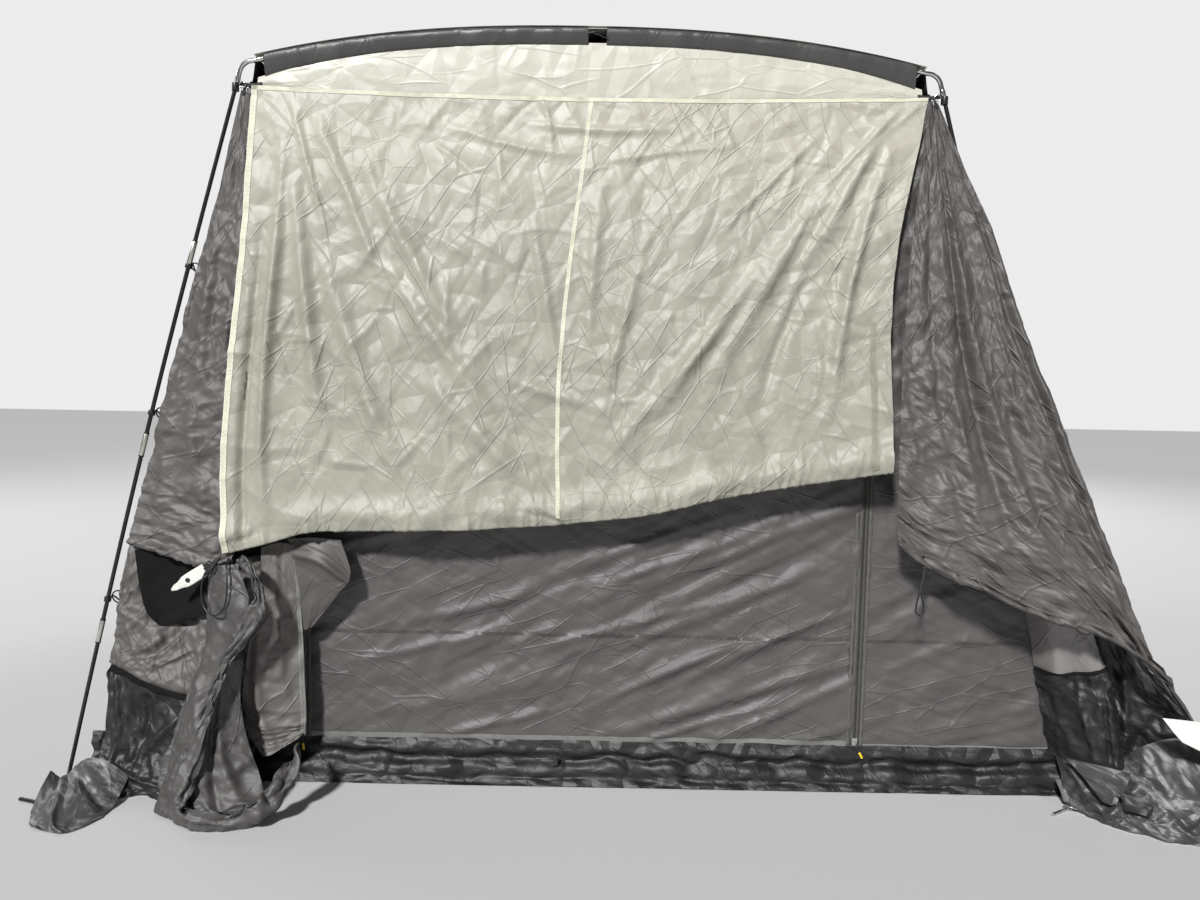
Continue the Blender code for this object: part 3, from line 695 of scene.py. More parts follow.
class Cloth:
    """A sheet as a grid of points: rows run down and columns run right, seen from outside."""

    def __init__(self, rows: Rows, step: float, seed: int) -> None:
        """Lay a fine grid through coarse rows.

        Args:
            rows: control points, top row first, each from left to right.
            step: distance between the fine points.
            seed: start of the random draws.
        """
        control = np.array(rows, float)
        spans_u = np.linalg.norm(np.diff(control, axis=1), axis=2).sum(axis=1)
        spans_v = np.linalg.norm(np.diff(control, axis=0), axis=2).sum(axis=0)
        self.width, self.length = float(spans_u.mean()), float(spans_v.mean())
        self.columns = max(3, round(self.width / step) + 1)
        self.lines = max(3, round(self.length / step) + 1)
        self.points = self.resample(self.resample(control, self.lines, 0), self.columns, 1)
        self.us = np.linspace(0, self.width, self.columns)
        self.vs = np.linspace(0, self.length, self.lines)
        self.lift = np.zeros((self.lines, self.columns))
        spread = np.linalg.norm(np.diff(self.points, axis=1), axis=2).sum(axis=1) / self.width
        self.share = np.clip(spread, LEAST_SHARE, 1.0)[:, None]
        self.rng = np.random.default_rng(seed)
        self.flat = np.stack(np.meshgrid(self.us, -self.vs), axis=2)

    @staticmethod
    def resample(points: np.ndarray, count: int, axis: int) -> np.ndarray:
        """Pass a smooth curve through the points along one axis.

        Args:
            points: grid of points.
            count: number of points wanted.
            axis: the axis.

        Returns:
            The finer grid.
        """
        p = np.moveaxis(points, axis, 0)
        n = len(p)
        if n == 2:
            t = np.linspace(0, 1, count).reshape(-1, 1, 1)
            return np.moveaxis(p[0] + (p[1] - p[0]) * t, 0, axis)
        padded = np.concatenate([2 * p[:1] - p[1:2], p, 2 * p[-1:] - p[-2:-1]])
        place = np.linspace(0, n - 1, count)
        first = np.minimum(place.astype(int), n - 2)
        t = (place - first).reshape(-1, 1, 1)
        a, b, c, d = (padded[first + k] for k in range(4))
        out = 0.5 * (2 * b + (c - a) * t + (2 * a - 5 * b + 4 * c - d) * t ** 2
                     + (3 * b - a - 3 * c + d) * t ** 3)
        return np.moveaxis(out, 0, axis)

    def firm(self) -> "Cloth":
        """Keep the folds at full height where rows are short."""
        self.share = np.ones((self.lines, 1))
        return self

    def normals(self) -> np.ndarray:
        """Unit normals that point outside."""
        right = np.gradient(self.points, axis=1)
        down = np.gradient(self.points, axis=0)
        normal = np.cross(down, right)
        return normal / np.linalg.norm(normal, axis=2, keepdims=True).clip(1e-9)

    def fold(self, folds: Iterable[Fold]) -> "Cloth":
        """Raise folds on the cloth."""
        for f in folds:
            reach = f.half_length + 2 * f.half_width + abs(f.bend) * f.half_length ** 2
            i0, i1 = np.searchsorted(self.us, (f.u - reach, f.u + reach))
            j0, j1 = np.searchsorted(self.vs, (f.v - reach, f.v + reach))
            if i0 >= i1 or j0 >= j1:
                continue
            u, v = self.us[i0:i1] - f.u, (self.vs[j0:j1] - f.v)[:, None]
            c, s = math.cos(f.angle), math.sin(f.angle)
            run, off = u * c + v * s, v * c - u * s
            off = np.abs(off + f.bend * run * run) / f.half_width
            crest = np.exp(-off * off * ROUND_CREST) if f.round_top else np.exp(-off * SHARP_CREST)
            window = np.clip(1 - (run / f.half_length) ** 2, 0, 1) ** FOLD_FADE
            self.lift[j0:j1, i0:i1] += f.height * crest * window
        return self

    def fold_at(self, *rows: Sequence[float]) -> "Cloth":
        """Raise folds whose places are shares of the width and the length.

        Args:
            rows: for each fold its shares across and down, then the rest of its fields.

        Returns:
            The cloth.
        """
        return self.fold([Fold(u * self.width, v * self.length, *rest) for u, v, *rest in rows])

    def scatter(self, *families: FoldFamily) -> "Cloth":
        """Scatter families of folds."""
        for family in families:
            self.fold(family.scatter(self.rng, self.width, self.length))
        return self

    def soft_noise(self, cell: float) -> np.ndarray:
        """Smooth noise from -1 to 1 with the given cell."""
        return self.lattice(cell, True)

    def lattice(self, cell: float, smooth: bool) -> np.ndarray:
        """Random heights on a lattice, joined smoothly or by flat facets.

        Args:
            cell: size of a lattice cell in metres.
            smooth: smooth hills, or else triangular facets.

        Returns:
            Heights from -1 to 1 on the grid.
        """
        shift = self.rng.uniform(0, 1, 4)
        u = self.flat[..., 0] / cell + shift[0]
        v = -self.flat[..., 1] / cell + shift[1]
        if not smooth:
            u = u + 0.42 * np.sin(1.7 * v + 6 * shift[2]) + 0.2 * np.sin(4.1 * v)
            v = v + 0.42 * np.sin(1.5 * u + 6 * shift[3]) + 0.2 * np.sin(3.7 * u)
        return self.cells(u, v, smooth)

    def cells(self, u: np.ndarray, v: np.ndarray, smooth: bool) -> np.ndarray:
        """Random heights on a lattice, read at places given in cells.

        Args:
            u: places across, in cells.
            v: places down, in cells.
            smooth: smooth hills, or else triangular facets.

        Returns:
            Heights from -1 to 1.
        """
        u, v = u - u.min(), v - v.min()
        heights = self.rng.uniform(-1, 1, (int(v.max()) + 2, int(u.max()) + 2))
        i, j = u.astype(int), v.astype(int)
        x, y = u - i, v - j
        a, b, c, d = heights[j, i], heights[j, i + 1], heights[j + 1, i], heights[j + 1, i + 1]
        if smooth:
            x, y = x * x * (3 - 2 * x), y * y * (3 - 2 * y)
            return (a * (1 - x) + b * x) * (1 - y) + (c * (1 - x) + d * x) * y
        upper = a + (b - a) * x + (c - a) * y
        lower = d + (c - d) * (1 - x) + (b - d) * (1 - y)
        return np.where(x + y < 1, upper, lower)

    def crumple(self, height: float, cell: float = 0.09, octaves: int = 3) -> "Cloth":
        """Break the cloth into facets.

        Args:
            height: height of the largest facets.
            cell: their size.
            octaves: number of sizes, each half of the last.

        Returns:
            The cloth.
        """
        strength = 0.65 + 0.35 * self.soft_noise(0.3)
        for k in range(octaves):
            self.lift += height * 0.5 ** k * self.lattice(cell * OCTAVE ** k, False) * strength
        return self

    def ridges(self, height: float, across: float, run: float, angle: float, sharp: float = 0.6) -> "Cloth":
        """Raise long ridges that join and part, as drawn cloth has them.

        Args:
            height: height of the ridges.
            across: distance from one ridge to the next.
            run: length along which a ridge keeps its shape.
            angle: direction of the ridges, turned down from the right.
            sharp: share of sharp crests, the rest being round waves.

        Returns:
            The cloth.
        """
        u, v = self.flat[..., 0], -self.flat[..., 1]
        c, s = math.cos(angle), math.sin(angle)
        sway = self.soft_noise(run * 0.6) * across * 0.5
        heights = self.cells((u * c + v * s) / run, (v * c - u * s + sway) / across, True)
        strength = 0.7 + 0.3 * self.soft_noise(0.25)
        crest = 1.0 - 2.0 * np.abs(heights) ** 0.8
        self.lift += height * strength * (sharp * crest + (1 - sharp) * heights * 1.3)
        return self

    def crinkle(self, strength: float = 1.0) -> "Cloth":
        """Cross sharp ridges of two sizes, as cloth that was stuffed in a bag has them."""
        for height, across, run, angles in ((0.0046, 0.036, 0.12, (0.35, 1.25, 2.2)),
                                            (0.0022, 0.017, 0.06, (0.8, 1.7, 2.75))):
            for angle in angles:
                self.ridges(height * strength, across, run, angle, 0.9)
        return self

    def pucker(self, per_metre: float, reach: tuple[float, float], height: tuple[float, float],
               at_top: bool = False) -> "Cloth":
        """Draw the cloth up along its lower or upper edge.

        Args:
            per_metre: number of puckers along a metre of the edge.
            reach: shortest and longest of them.
            height: lowest and highest of them.
            at_top: along the upper edge.

        Returns:
            The cloth.
        """
        edge = 0.0 if at_top else self.length
        folds = []
        for _ in range(int(per_metre * self.width)):
            size = self.rng.uniform(*reach)
            lift = self.rng.uniform(*height) * (1 if self.rng.random() < 0.7 else -0.6)
            folds.append(Fold(self.rng.uniform(0, self.width), edge, math.pi / 2 + self.rng.normal(0, 0.22),
                              size, self.rng.uniform(0.005, 0.012), lift, self.rng.uniform(-1, 1), False))
        return self.fold(folds)

    def ruche(self, width: float, height: float) -> "Cloth":
        """Bulge the lower edge into a gathered roll.

        Args:
            width: height of the gathered band.
            height: how far it stands out.

        Returns:
            The cloth.
        """
        u, v = self.flat[..., 0], -self.flat[..., 1]
        band = np.exp(-((v - self.length + width) / width) ** 2)
        fine, broad = (0.011, 0.05), (0.030, 0.04)
        knots = (0.55 + 0.30 * self.cells(u / fine[0], v / fine[1], True)
                 + 0.35 * self.cells(u / broad[0], v / broad[1], True))
        self.lift += height * band * knots
        return self

    def side_pucker(self, per_metre: float, reach: float, height: float, right: bool) -> "Cloth":
        """Draw the cloth up along an upright stitched edge."""
        edge = self.width if right else 0.0
        folds = []
        for _ in range(int(per_metre * self.length)):
            folds.append(Fold(edge, self.rng.uniform(0, self.length), self.rng.normal(0, 0.16),
                              reach * self.rng.uniform(0.4, 1.3), self.rng.uniform(0.004, 0.008),
                              height * self.rng.uniform(0.4, 1.2), 0.0, False))
        return self.fold(folds)

    def calm(self, top: float = 0.0, bottom: float = 0.0, left: float = 0.0, right: float = 0.0) -> "Cloth":
        """Fade the folds out towards edges that are sewn to something.

        Args:
            top: reach of the fade at the upper edge.
            bottom: at the lower edge.
            left: at the left edge.
            right: at the right edge.

        Returns:
            The cloth.
        """
        u, v = self.flat[..., 0], -self.flat[..., 1]
        for reach, distance in ((top, v), (bottom, self.length - v), (left, u), (right, self.width - u)):
            if reach:
                self.lift *= np.clip(distance / reach, 0, 1) ** EDGE_FADE
        return self

    def push(self, offset: Callable[[np.ndarray, np.ndarray], np.ndarray]) -> "Cloth":
        """Raise the cloth by a function of its shares across and down."""
        self.lift += offset(self.flat[..., 0] / self.width, -self.flat[..., 1] / self.length)
        return self

    def settle(self) -> "Cloth":
        """Turn the folds into shape."""
        self.points = self.points + self.normals() * (self.lift * self.share)[..., None]
        self.lift = np.zeros_like(self.lift)
        return self

    def above(self, lowest: float) -> "Cloth":
        """Keep every point at or above a height."""
        self.points[..., 2] = np.maximum(self.points[..., 2], lowest)
        return self

    def roll_hem(self, radius: float, back: float, forward: bool = False) -> "Cloth":
        """Roll the lower edge under.

        Args:
            radius: radius of the roll.
            back: height that the turned cloth runs up behind.
            forward: roll it to the front.

        Returns:
            The cloth with its rolled rows.
        """
        end, before = self.points[-1], self.points[-3]
        down = end - before
        down /= np.linalg.norm(down, axis=1, keepdims=True).clip(1e-9)
        out = self.normals()[-1]
        out = -out if forward else out
        rows, flats = [], []
        place = self.flat[-1]
        for k in range(1, HEM_STEPS + 1):
            turn = math.pi * k / HEM_STEPS
            rows.append(end - out * radius * (1 - math.cos(turn)) + down * radius * math.sin(turn))
            flats.append(place - np.array((0, radius * turn)))
        for k in (1, 2):
            rows.append(rows[HEM_STEPS - 1] - down * back * k / 2)
            flats.append(flats[HEM_STEPS - 1] - np.array((0, back * k / 2)))
        self.points = np.concatenate([self.points, np.array(rows)])
        self.flat = np.concatenate([self.flat, np.array(flats)])
        return self

    def strip(self, columns: tuple[float, float], lines: tuple[float, float], lift: float) -> "Cloth":
        """Cut a strip that lies on this cloth.

        Args:
            columns: shares across where it starts and stops.
            lines: shares down where it starts and stops.
            lift: height above the cloth.

        Returns:
            The strip.
        """
        made = object.__new__(Cloth)
        i0, i1 = (int(round(s * (self.columns - 1))) for s in columns)
        j0, j1 = (int(round(s * (self.lines - 1))) for s in lines)
        i1, j1 = max(i1, i0 + 1), max(j1, j0 + 1)
        raised = self.points + self.normals() * lift
        made.points = raised[j0:j1 + 1, i0:i1 + 1].copy()
        made.flat = self.flat[j0:j1 + 1, i0:i1 + 1] - self.flat[j0, i0]
        made.width = float(np.linalg.norm(np.diff(made.points, axis=1), axis=2).sum(axis=1).mean())
        made.length = float(np.linalg.norm(np.diff(made.points, axis=0), axis=2).sum(axis=0).mean())
        made.flat[..., 0] *= made.width / max(made.flat[..., 0].max(), 1e-6)
        made.columns, made.lines = made.points.shape[1], made.points.shape[0]
        made.rng = self.rng
        return made

    def tape(self, name: str, finish: Finish, columns: tuple[float, float], lines: tuple[float, float],
             lift: float = 0.0012, level: bool = False) -> None:
        """Lay a seam, tape or binding on this cloth as a piece of its own.

        Args:
            name: name of the piece.
            finish: its finish.
            columns: shares across where it starts and stops.
            lines: shares down where it starts and stops.
            lift: height above the cloth.
            level: its pattern runs along the rows.
        """
        made = self.strip(columns, lines, lift)
        if level:
            made.flat = made.flat[..., ::-1].copy()
        hand_over(made.mesh(name), finish)

    def mesh(self, name: str) -> bpy.types.Object:
        """Make the mesh object."""
        lines, columns = self.points.shape[:2]
        index = np.arange(lines * columns).reshape(lines, columns)
        quads = np.stack([index[:-1, :-1], index[1:, :-1], index[1:, 1:], index[:-1, 1:]],
                         axis=2).reshape(-1, 4)
        data = bpy.data.meshes.new(name)
        data.vertices.add(lines * columns)
        data.vertices.foreach_set("co", self.points.astype(np.float32).ravel())
        data.loops.add(quads.size)
        data.loops.foreach_set("vertex_index", quads.astype(np.int32).ravel())
        data.polygons.add(len(quads))
        data.polygons.foreach_set("loop_start", np.arange(0, quads.size, 4, dtype=np.int32))
        data.update(calc_edges=True)
        uv = data.uv_layers.new(name=CLOTH_UV)
        uv.data.foreach_set("uv", self.flat.reshape(-1, 2)[quads.ravel()].astype(np.float32).ravel())
        data.shade_smooth()
        obj = bpy.data.objects.new(name, data)
        bpy.context.collection.objects.link(obj)
        return obj

    def piece(self, name: str, finish: Finish, hold: Hold, rests_on: Sequence[str],
              stands_for: Iterable[str] = (), slack: float = 1.0) -> bpy.types.Object:
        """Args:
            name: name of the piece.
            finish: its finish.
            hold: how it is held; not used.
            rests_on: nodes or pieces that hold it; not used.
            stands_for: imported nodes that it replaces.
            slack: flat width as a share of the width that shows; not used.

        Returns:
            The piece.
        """
        obj = self.mesh(name)
        hand_over(obj, finish, stands_for=stands_for)
        return obj


def deselect_all() -> None:
    """Leave nothing selected and no piece in edit mode."""
    if bpy.context.object and bpy.context.object.mode != "OBJECT":
        bpy.ops.object.mode_set(mode="OBJECT")
    bpy.ops.object.select_all(action="DESELECT")


def activate(obj: bpy.types.Object) -> None:
    """Select one object alone and make it the active one."""
    deselect_all()
    obj.select_set(True)
    bpy.context.view_layer.objects.active = obj


def name_new(name: str) -> bpy.types.Object:
    """Name the object that an operator has just added, and return it."""
    obj = bpy.context.object
    obj.name = obj.data.name = name
    return obj


def apply_place(obj: bpy.types.Object) -> None:
    """Move an object's place, turn and scale into its mesh."""
    activate(obj)
    bpy.ops.object.transform_apply(location=True, rotation=True, scale=True)


def set_down(obj: bpy.types.Object, centre: Vector, turn: Matrix) -> None:
    """Turn a piece, move it to its place and keep both in its mesh."""
    obj.matrix_world = Matrix.Translation(centre) @ turn.to_4x4()
    apply_place(obj)


def thicken(obj: bpy.types.Object, thickness: float, offset: float = -1.0) -> None:
    """Give a sheet its thickness with an applied Solidify, to both sides at offset 0."""
    activate(obj)
    wall = obj.modifiers.new("wall", "SOLIDIFY")
    wall.thickness = thickness
    wall.offset = offset
    bpy.ops.object.modifier_apply(modifier=wall.name)


def bevel_edges(obj: bpy.types.Object, width: float, segments: int = 2) -> None:
    """Round the sharp edges of a piece with an applied bevel."""
    activate(obj)
    bevel = obj.modifiers.new("bevel", "BEVEL")
    bevel.width = width
    bevel.segments = segments
    bevel.limit_method = "ANGLE"
    bevel.angle_limit = BEVEL_ANGLE
    bpy.ops.object.modifier_apply(modifier=bevel.name)
    bpy.ops.object.shade_smooth_by_angle(angle=SMOOTH_ANGLE)


def turned_collar(name: str, centre: Vector, direction: Vector, radius: float, length: float, lip: float,
                  sides: int = 28) -> bpy.types.Object:
    """Round collar with a rolled rim at each end, as a ferrule has.

    Args:
        name: name of the piece.
        centre: its middle.
        direction: its axis.
        radius: its radius.
        length: its length.
        lip: width of the rim's rounding.
        sides: number of sides.

    Returns:
        The piece.
    """
    deselect_all()
    bpy.ops.mesh.primitive_cylinder_add(vertices=sides, radius=radius, depth=length, location=(0, 0, 0))
    obj = name_new(name)
    bpy.ops.object.mode_set(mode="EDIT")
    bpy.ops.mesh.select_all(action="DESELECT")
    bpy.ops.object.mode_set(mode="OBJECT")
    for face in obj.data.polygons:
        face.select = abs(face.normal.z) > 0.9
    bpy.ops.object.mode_set(mode="EDIT")
    bpy.ops.mesh.select_mode(type="FACE")
    bpy.ops.mesh.inset(thickness=radius * 0.16, depth=-lip * 0.8, use_individual=True)
    bpy.ops.object.mode_set(mode="OBJECT")
    bevel_edges(obj, lip)
    set_down(obj, centre, direction.to_track_quat("Z", "Y").to_matrix())
    return obj


def bent_bar(name: str, path: Sequence[Vector], radius: float, sides: int = 6) -> bpy.types.Object:
    """Round bar along a path, from a curve with a round bevel that becomes a mesh.

    Args:
        name: name of the piece.
        path: its middle line.
        radius: its radius.
        sides: bevel resolution; the bar has twice this plus 4 sides.

    Returns:
        The piece.
    """
    deselect_all()
    bpy.ops.curve.primitive_nurbs_path_add(location=(0, 0, 0))
    obj = name_new(name)
    curve = obj.data
    curve.splines.clear()
    spline = curve.splines.new("POLY")
    spline.points.add(len(path) - 1)
    for point, place in zip(spline.points, path):
        point.co = (*place, 1.0)
    curve.dimensions = "3D"
    curve.bevel_depth = radius
    curve.bevel_resolution = sides
    curve.use_fill_caps = True
    activate(obj)
    bpy.ops.object.convert(target="MESH")
    obj = bpy.context.object
    bpy.ops.object.mode_set(mode="EDIT")
    bpy.ops.mesh.select_all(action="SELECT")
    bpy.ops.mesh.remove_doubles(threshold=1e-6)
    bpy.ops.mesh.normals_make_consistent(inside=False)
    bpy.ops.object.mode_set(mode="OBJECT")
    bpy.ops.object.shade_smooth_by_angle(angle=SMOOTH_ANGLE)
    return obj


def smooth_path(points: Sequence[Sequence[float]], count: int) -> list[Vector]:
    """Smooth curve through a few points.

    Args:
        points: the points.
        count: number of points wanted.

    Returns:
        The finer path.
    """
    fine = Cloth.resample(np.array(points, float)[:, None, :], count, 0)[:, 0, :]
    return [Vector(p) for p in fine]


def cord_path(route: Sequence[Point], steps: int) -> list[Vector]:
    """Points of one smooth curve through a free cord's route.

    Args:
        route: the points of the route.
        steps: number of points to each stretch.

    Returns:
        The finer path.
    """
    knots = [Vector(p) for p in route]
    knots = [2 * knots[0] - knots[1], *knots, 2 * knots[-1] - knots[-2]]
    path = []
    for a, b, c, d in zip(knots, knots[1:], knots[2:], knots[3:]):
        for t in np.arange(steps) / steps:
            path.append(0.5 * (2 * b + (c - a) * t + (2 * a - 5 * b + 4 * c - d) * t ** 2
                               + (3 * b - a - 3 * c + d) * t ** 3))
    path.append(knots[-2])
    return path


def free_cord(path: Sequence[Vector]) -> None:
    """Work out the length of a hanging cord's path; nothing is done with it.

    Args:
        path: its middle line from the exit.
    """
    length = sum((b - a).length for a, b in zip(path, path[1:]))


def ring(name: str, centre: Vector, axis: Vector, major: float, minor: float) -> bpy.types.Object:
    """Round ring of wire.

    Args:
        name: name of the piece.
        centre: its middle.
        axis: its axis.
        major: radius of its middle line.
        minor: radius of the wire.

    Returns:
        The piece.
    """
    deselect_all()
    bpy.ops.mesh.primitive_torus_add(major_radius=major, minor_radius=minor, major_segments=28,
                                     minor_segments=10)
    obj = name_new(name)
    set_down(obj, centre, axis.to_track_quat("Z", "Y").to_matrix())
    bpy.ops.object.shade_smooth_by_angle(angle=RING_SMOOTH_ANGLE)
    return obj


def block(name: str, centre: Vector, size: Vector, turn: Matrix, rounding: float,
          taper: float = 1.0) -> bpy.types.Object:
    """Rounded block, narrowed towards its lower end.

    Args:
        name: name of the piece.
        centre: its middle.
        size: its size along its own axes.
        turn: its turn.
        rounding: width of the rounded edges.
        taper: width of the lower end as a share of the upper.

    Returns:
        The piece.
    """
    deselect_all()
    bpy.ops.mesh.primitive_cube_add(size=1.0, location=(0, 0, 0))
    obj = name_new(name)
    obj.scale = size
    apply_place(obj)
    for vertex in obj.data.vertices:
        if vertex.co.z < 0:
            vertex.co.x *= taper
    bevel_edges(obj, rounding, 3)
    set_down(obj, centre, turn)
    return obj


def strap(name: str, path: Sequence[Vector], side: Vector, width: float, thickness: float,
          finish: Finish, body: Body = Body.AWNING, stands_for: Iterable[str] = ()) -> bpy.types.Object:
    """Flat webbing strap along a path.

    Args:
        name: name of the piece.
        path: its middle line.
        side: direction across it.
        width: its width.
        thickness: its thickness.
        finish: its finish.
        body: the body that it moves with.
        stands_for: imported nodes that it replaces.

    Returns:
        The piece.
    """
    across = side.normalized() * (width / 2)
    grid = np.array([[tuple(p + across * s) for s in (-1, -0.34, 0.34, 1)] for p in path], float)
    flat = np.zeros((len(path), 4, 2))
    flat[..., 0] = np.array((0, 0.33, 0.67, 1)) * width
    steps = [0.0] + [(b - a).length for a, b in zip(path, path[1:])]
    flat[..., 1] = np.cumsum(steps)[:, None]
    cloth = object.__new__(Cloth)
    cloth.points, cloth.flat = grid, flat
    obj = cloth.mesh(name)
    thicken(obj, thickness, 0.0)
    hand_over(obj, finish, body, stands_for)
    return obj


@dataclass
class Studio:
    """Pale floor, soft lights and the camera at the photograph's place."""

    camera_place: Point = (0.046, -2.44, 1.1835)
    pitch_down: float = math.radians(5.0)
    roll: float = math.radians(1.1)
    lens: float = 26.0
    floor_reach: float = 40.0
    ambient: float = 0.11
    backdrop: float = 0.84
    key_place: Point = (-1.35, -3.3, 3.85)
    key_aim: Point = (0.0, 0.0, 1.0)
    key_power: float = 4.4
    key_spread: float = math.radians(6.0)
    sensor: float = 36.0
    clip: tuple[float, float] = (0.05, 200.0)
    lights: tuple[tuple[str, Point, Point, float, float], ...] = (
        ("fill", (3.4, -2.6, 1.6), (0.4, 0.0, 0.9), 2.0, 5.0),
        ("back", (3.0, 7.5, 5.2), (0.0, 2.4, 0.8), 3.0, 260.0),
        ("back_left", (-6.5, 3.5, 4.4), (-1.0, 1.6, 0.8), 3.0, 130.0),
    )

    def build(self) -> None:
        """Set up the camera, floor, world and lights."""
        self.place_camera()
        self.lay_floor()
        self.set_world()
        self.hang_lights()

    def place_camera(self) -> None:
        """Camera at the photograph's place."""
        camera = bpy.data.objects.new("camera", bpy.data.cameras.new("camera"))
        bpy.context.collection.objects.link(camera)
        camera.data.sensor_width = self.sensor
        camera.data.lens = self.lens
        camera.data.clip_start, camera.data.clip_end = self.clip
        camera.matrix_world = (Matrix.Translation(self.camera_place)
                               @ Matrix.Rotation(math.pi / 2 - self.pitch_down, 4, "X")
                               @ Matrix.Rotation(self.roll, 4, "Z"))
        bpy.context.scene.camera = camera

    def lay_floor(self) -> None:
        """Pale floor."""
        deselect_all()
        bpy.ops.mesh.primitive_plane_add(size=self.floor_reach, location=(0, 0, 0))
        floor = bpy.context.object
        floor.name = "floor"
        floor.data.materials.append(finish_of(PALE_FLOOR))

    def set_world(self) -> None:
        """Pale backdrop that gives less light than the camera sees."""
        world = bpy.data.worlds.new("studio")
        world.use_nodes = True
        tree = world.node_tree
        background = tree.nodes["Background"]
        background.inputs["Color"].default_value = (1.0, 1.0, 1.0, 1.0)
        seen = tree.nodes.new("ShaderNodeMapRange")
        seen.inputs["To Min"].default_value = self.ambient
        seen.inputs["To Max"].default_value = self.backdrop
        tree.links.new(tree.nodes.new("ShaderNodeLightPath").outputs["Is Camera Ray"], seen.inputs["Value"])
        tree.links.new(seen.outputs["Result"], background.inputs["Strength"])
        bpy.context.scene.world = world
        bpy.context.scene.view_settings.view_transform = "Standard"

    def hang_lights(self) -> None:
        """Soft sun and the large lamps."""
        key = bpy.data.lights.new("key", "SUN")
        key.energy = self.key_power
        key.angle = self.key_spread
        holder = bpy.data.objects.new("key", key)
        bpy.context.collection.objects.link(holder)
        holder.location = self.key_place
        holder.rotation_euler = (Vector(self.key_aim) - holder.location).to_track_quat("-Z", "Y").to_euler()
        for name, place, aim, size, power in self.lights:
            lamp = bpy.data.lights.new(name, "AREA")
            lamp.shape = "DISK"
            lamp.size = size
            lamp.energy = power
            holder = bpy.data.objects.new(name, lamp)
            bpy.context.collection.objects.link(holder)
            holder.location = place
            holder.rotation_euler = (Vector(aim) - Vector(place)).to_track_quat("-Z", "Y").to_euler()


@dataclass
class PoleArch:
    """Roof pole, bent elbows and ferruled legs of one end."""

    end: End
    pole_r: float = 0.0055
    ferrule_r: float = 0.0070
    ferrule_length: float = 0.065
    ferrule_lip: float = 0.0012
    ferrule_heights: tuple[float, ...] = (0.44, 0.965, 1.495)
    elbow_r: float = 0.0062
    elbow_inner: float = 0.8895
    elbow_slope_end: float = 0.918
    elbow_corner: tuple[float, float] = (0.950, 2.014)
    pole_gap: float = 0.0005
    collar: tuple[float, float, float, float] = (0.009, 0.0012, 0.016, 0.0012)
    sleeve_collar: tuple[float, float, float, float] = (0.012, 0.0010, 0.012, 0.0010)
    rim: tuple[float, float, float] = (0.0004, 0.004, 0.0008)

    def build(self) -> None:
        """Build and dress the arch."""
        y = PLAN.plane_y(self.end)
        half = self.elbow_inner - self.pole_gap
        path = [Vector((x, y, PLAN.arch_z(x))) for x in np.linspace(-half, half, 60)]
        name = f"{self.end.word}_roof_pole"
        hand_over(bent_bar(f"{name}_rod", path, self.pole_r), ROD, stands_for=[name])
        for side in Side:
            self.build_elbow(side)
            self.build_leg(side)

    def build_elbow(self, side: Side) -> None:
        """Bent steel tube at an eave, with a crimped collar at each end."""
        y = PLAN.plane_y(self.end)
        slope = Vector((self.elbow_slope_end, y, PLAN.arch_z(self.elbow_slope_end)))
        corner = Vector((self.elbow_corner[0], y, self.elbow_corner[1]))
        low = PLAN.leg_point(Side.RIGHT, self.end, PLAN.eave_z + 0.022)
        top = PLAN.leg_point(Side.RIGHT, self.end, PLAN.eave_z + 0.0006)
        bend = [slope.lerp(corner, t).lerp(corner.lerp(low, t), t) for t in np.linspace(0, 1, 17)]
        path = [Vector((self.elbow_inner, y, PLAN.arch_z(self.elbow_inner))), *bend, top]
        path = [Vector((side.value * p.x, p.y, p.z)) for p in path]
        node = f"{self.end.word}_elbow_{side.word}"
        hand_over(bent_bar(f"{node}_tube", path, self.elbow_r, 8), BRIGHT_STEEL, stands_for=[node])
        run = (path[-1] - path[-2]).normalized()
        back, over, length, lip = self.collar
        piece = turned_collar(f"{node}_collar", path[-1] - run * back, run, self.elbow_r + over, length, lip)
        hand_over(piece, BRIGHT_STEEL)
        run = (path[1] - path[0]).normalized()
        back, over, length, lip = self.sleeve_collar
        place = path[0] + run * back
        piece = turned_collar(f"{node}_sleeve_collar", place, run, self.elbow_r + over, length, lip)
        hand_over(piece, BRIGHT_STEEL)

    def build_leg(self, side: Side) -> None:
        """Bowed leg down to the floor, with its ferrules and their rims."""
        node = f"{self.end.word}_leg_{side.word}"
        heights = np.linspace(0.0, PLAN.eave_z, 70)
        path = [PLAN.leg_point(side, self.end, float(z)) for z in heights]
        path[0].z = 0.0004
        hand_over(bent_bar(f"{node}_rod", path, self.pole_r), ROD, stands_for=[node])
        for i, z in enumerate(self.ferrule_heights):
            middle = PLAN.leg_point(side, self.end, z)
            above, below = (PLAN.leg_point(side, self.end, z + shift) for shift in (0.03, -0.03))
            run = (above - below).normalized()
            name = f"{node}_ferrule_{i + 1}"
            ferrule = turned_collar(name, middle, run, self.ferrule_r, self.ferrule_length, self.ferrule_lip)
            hand_over(ferrule, FERRULE_STEEL)
            over, length, lip = self.rim
            for word, share in (("low", -0.5), ("high", 0.5)):
                rim = turned_collar(f"{name}_{word}_rim", middle + run * (self.ferrule_length * share),
                                    run, self.ferrule_r + over, length, lip)
                hand_over(rim, BLACK_PLASTIC)


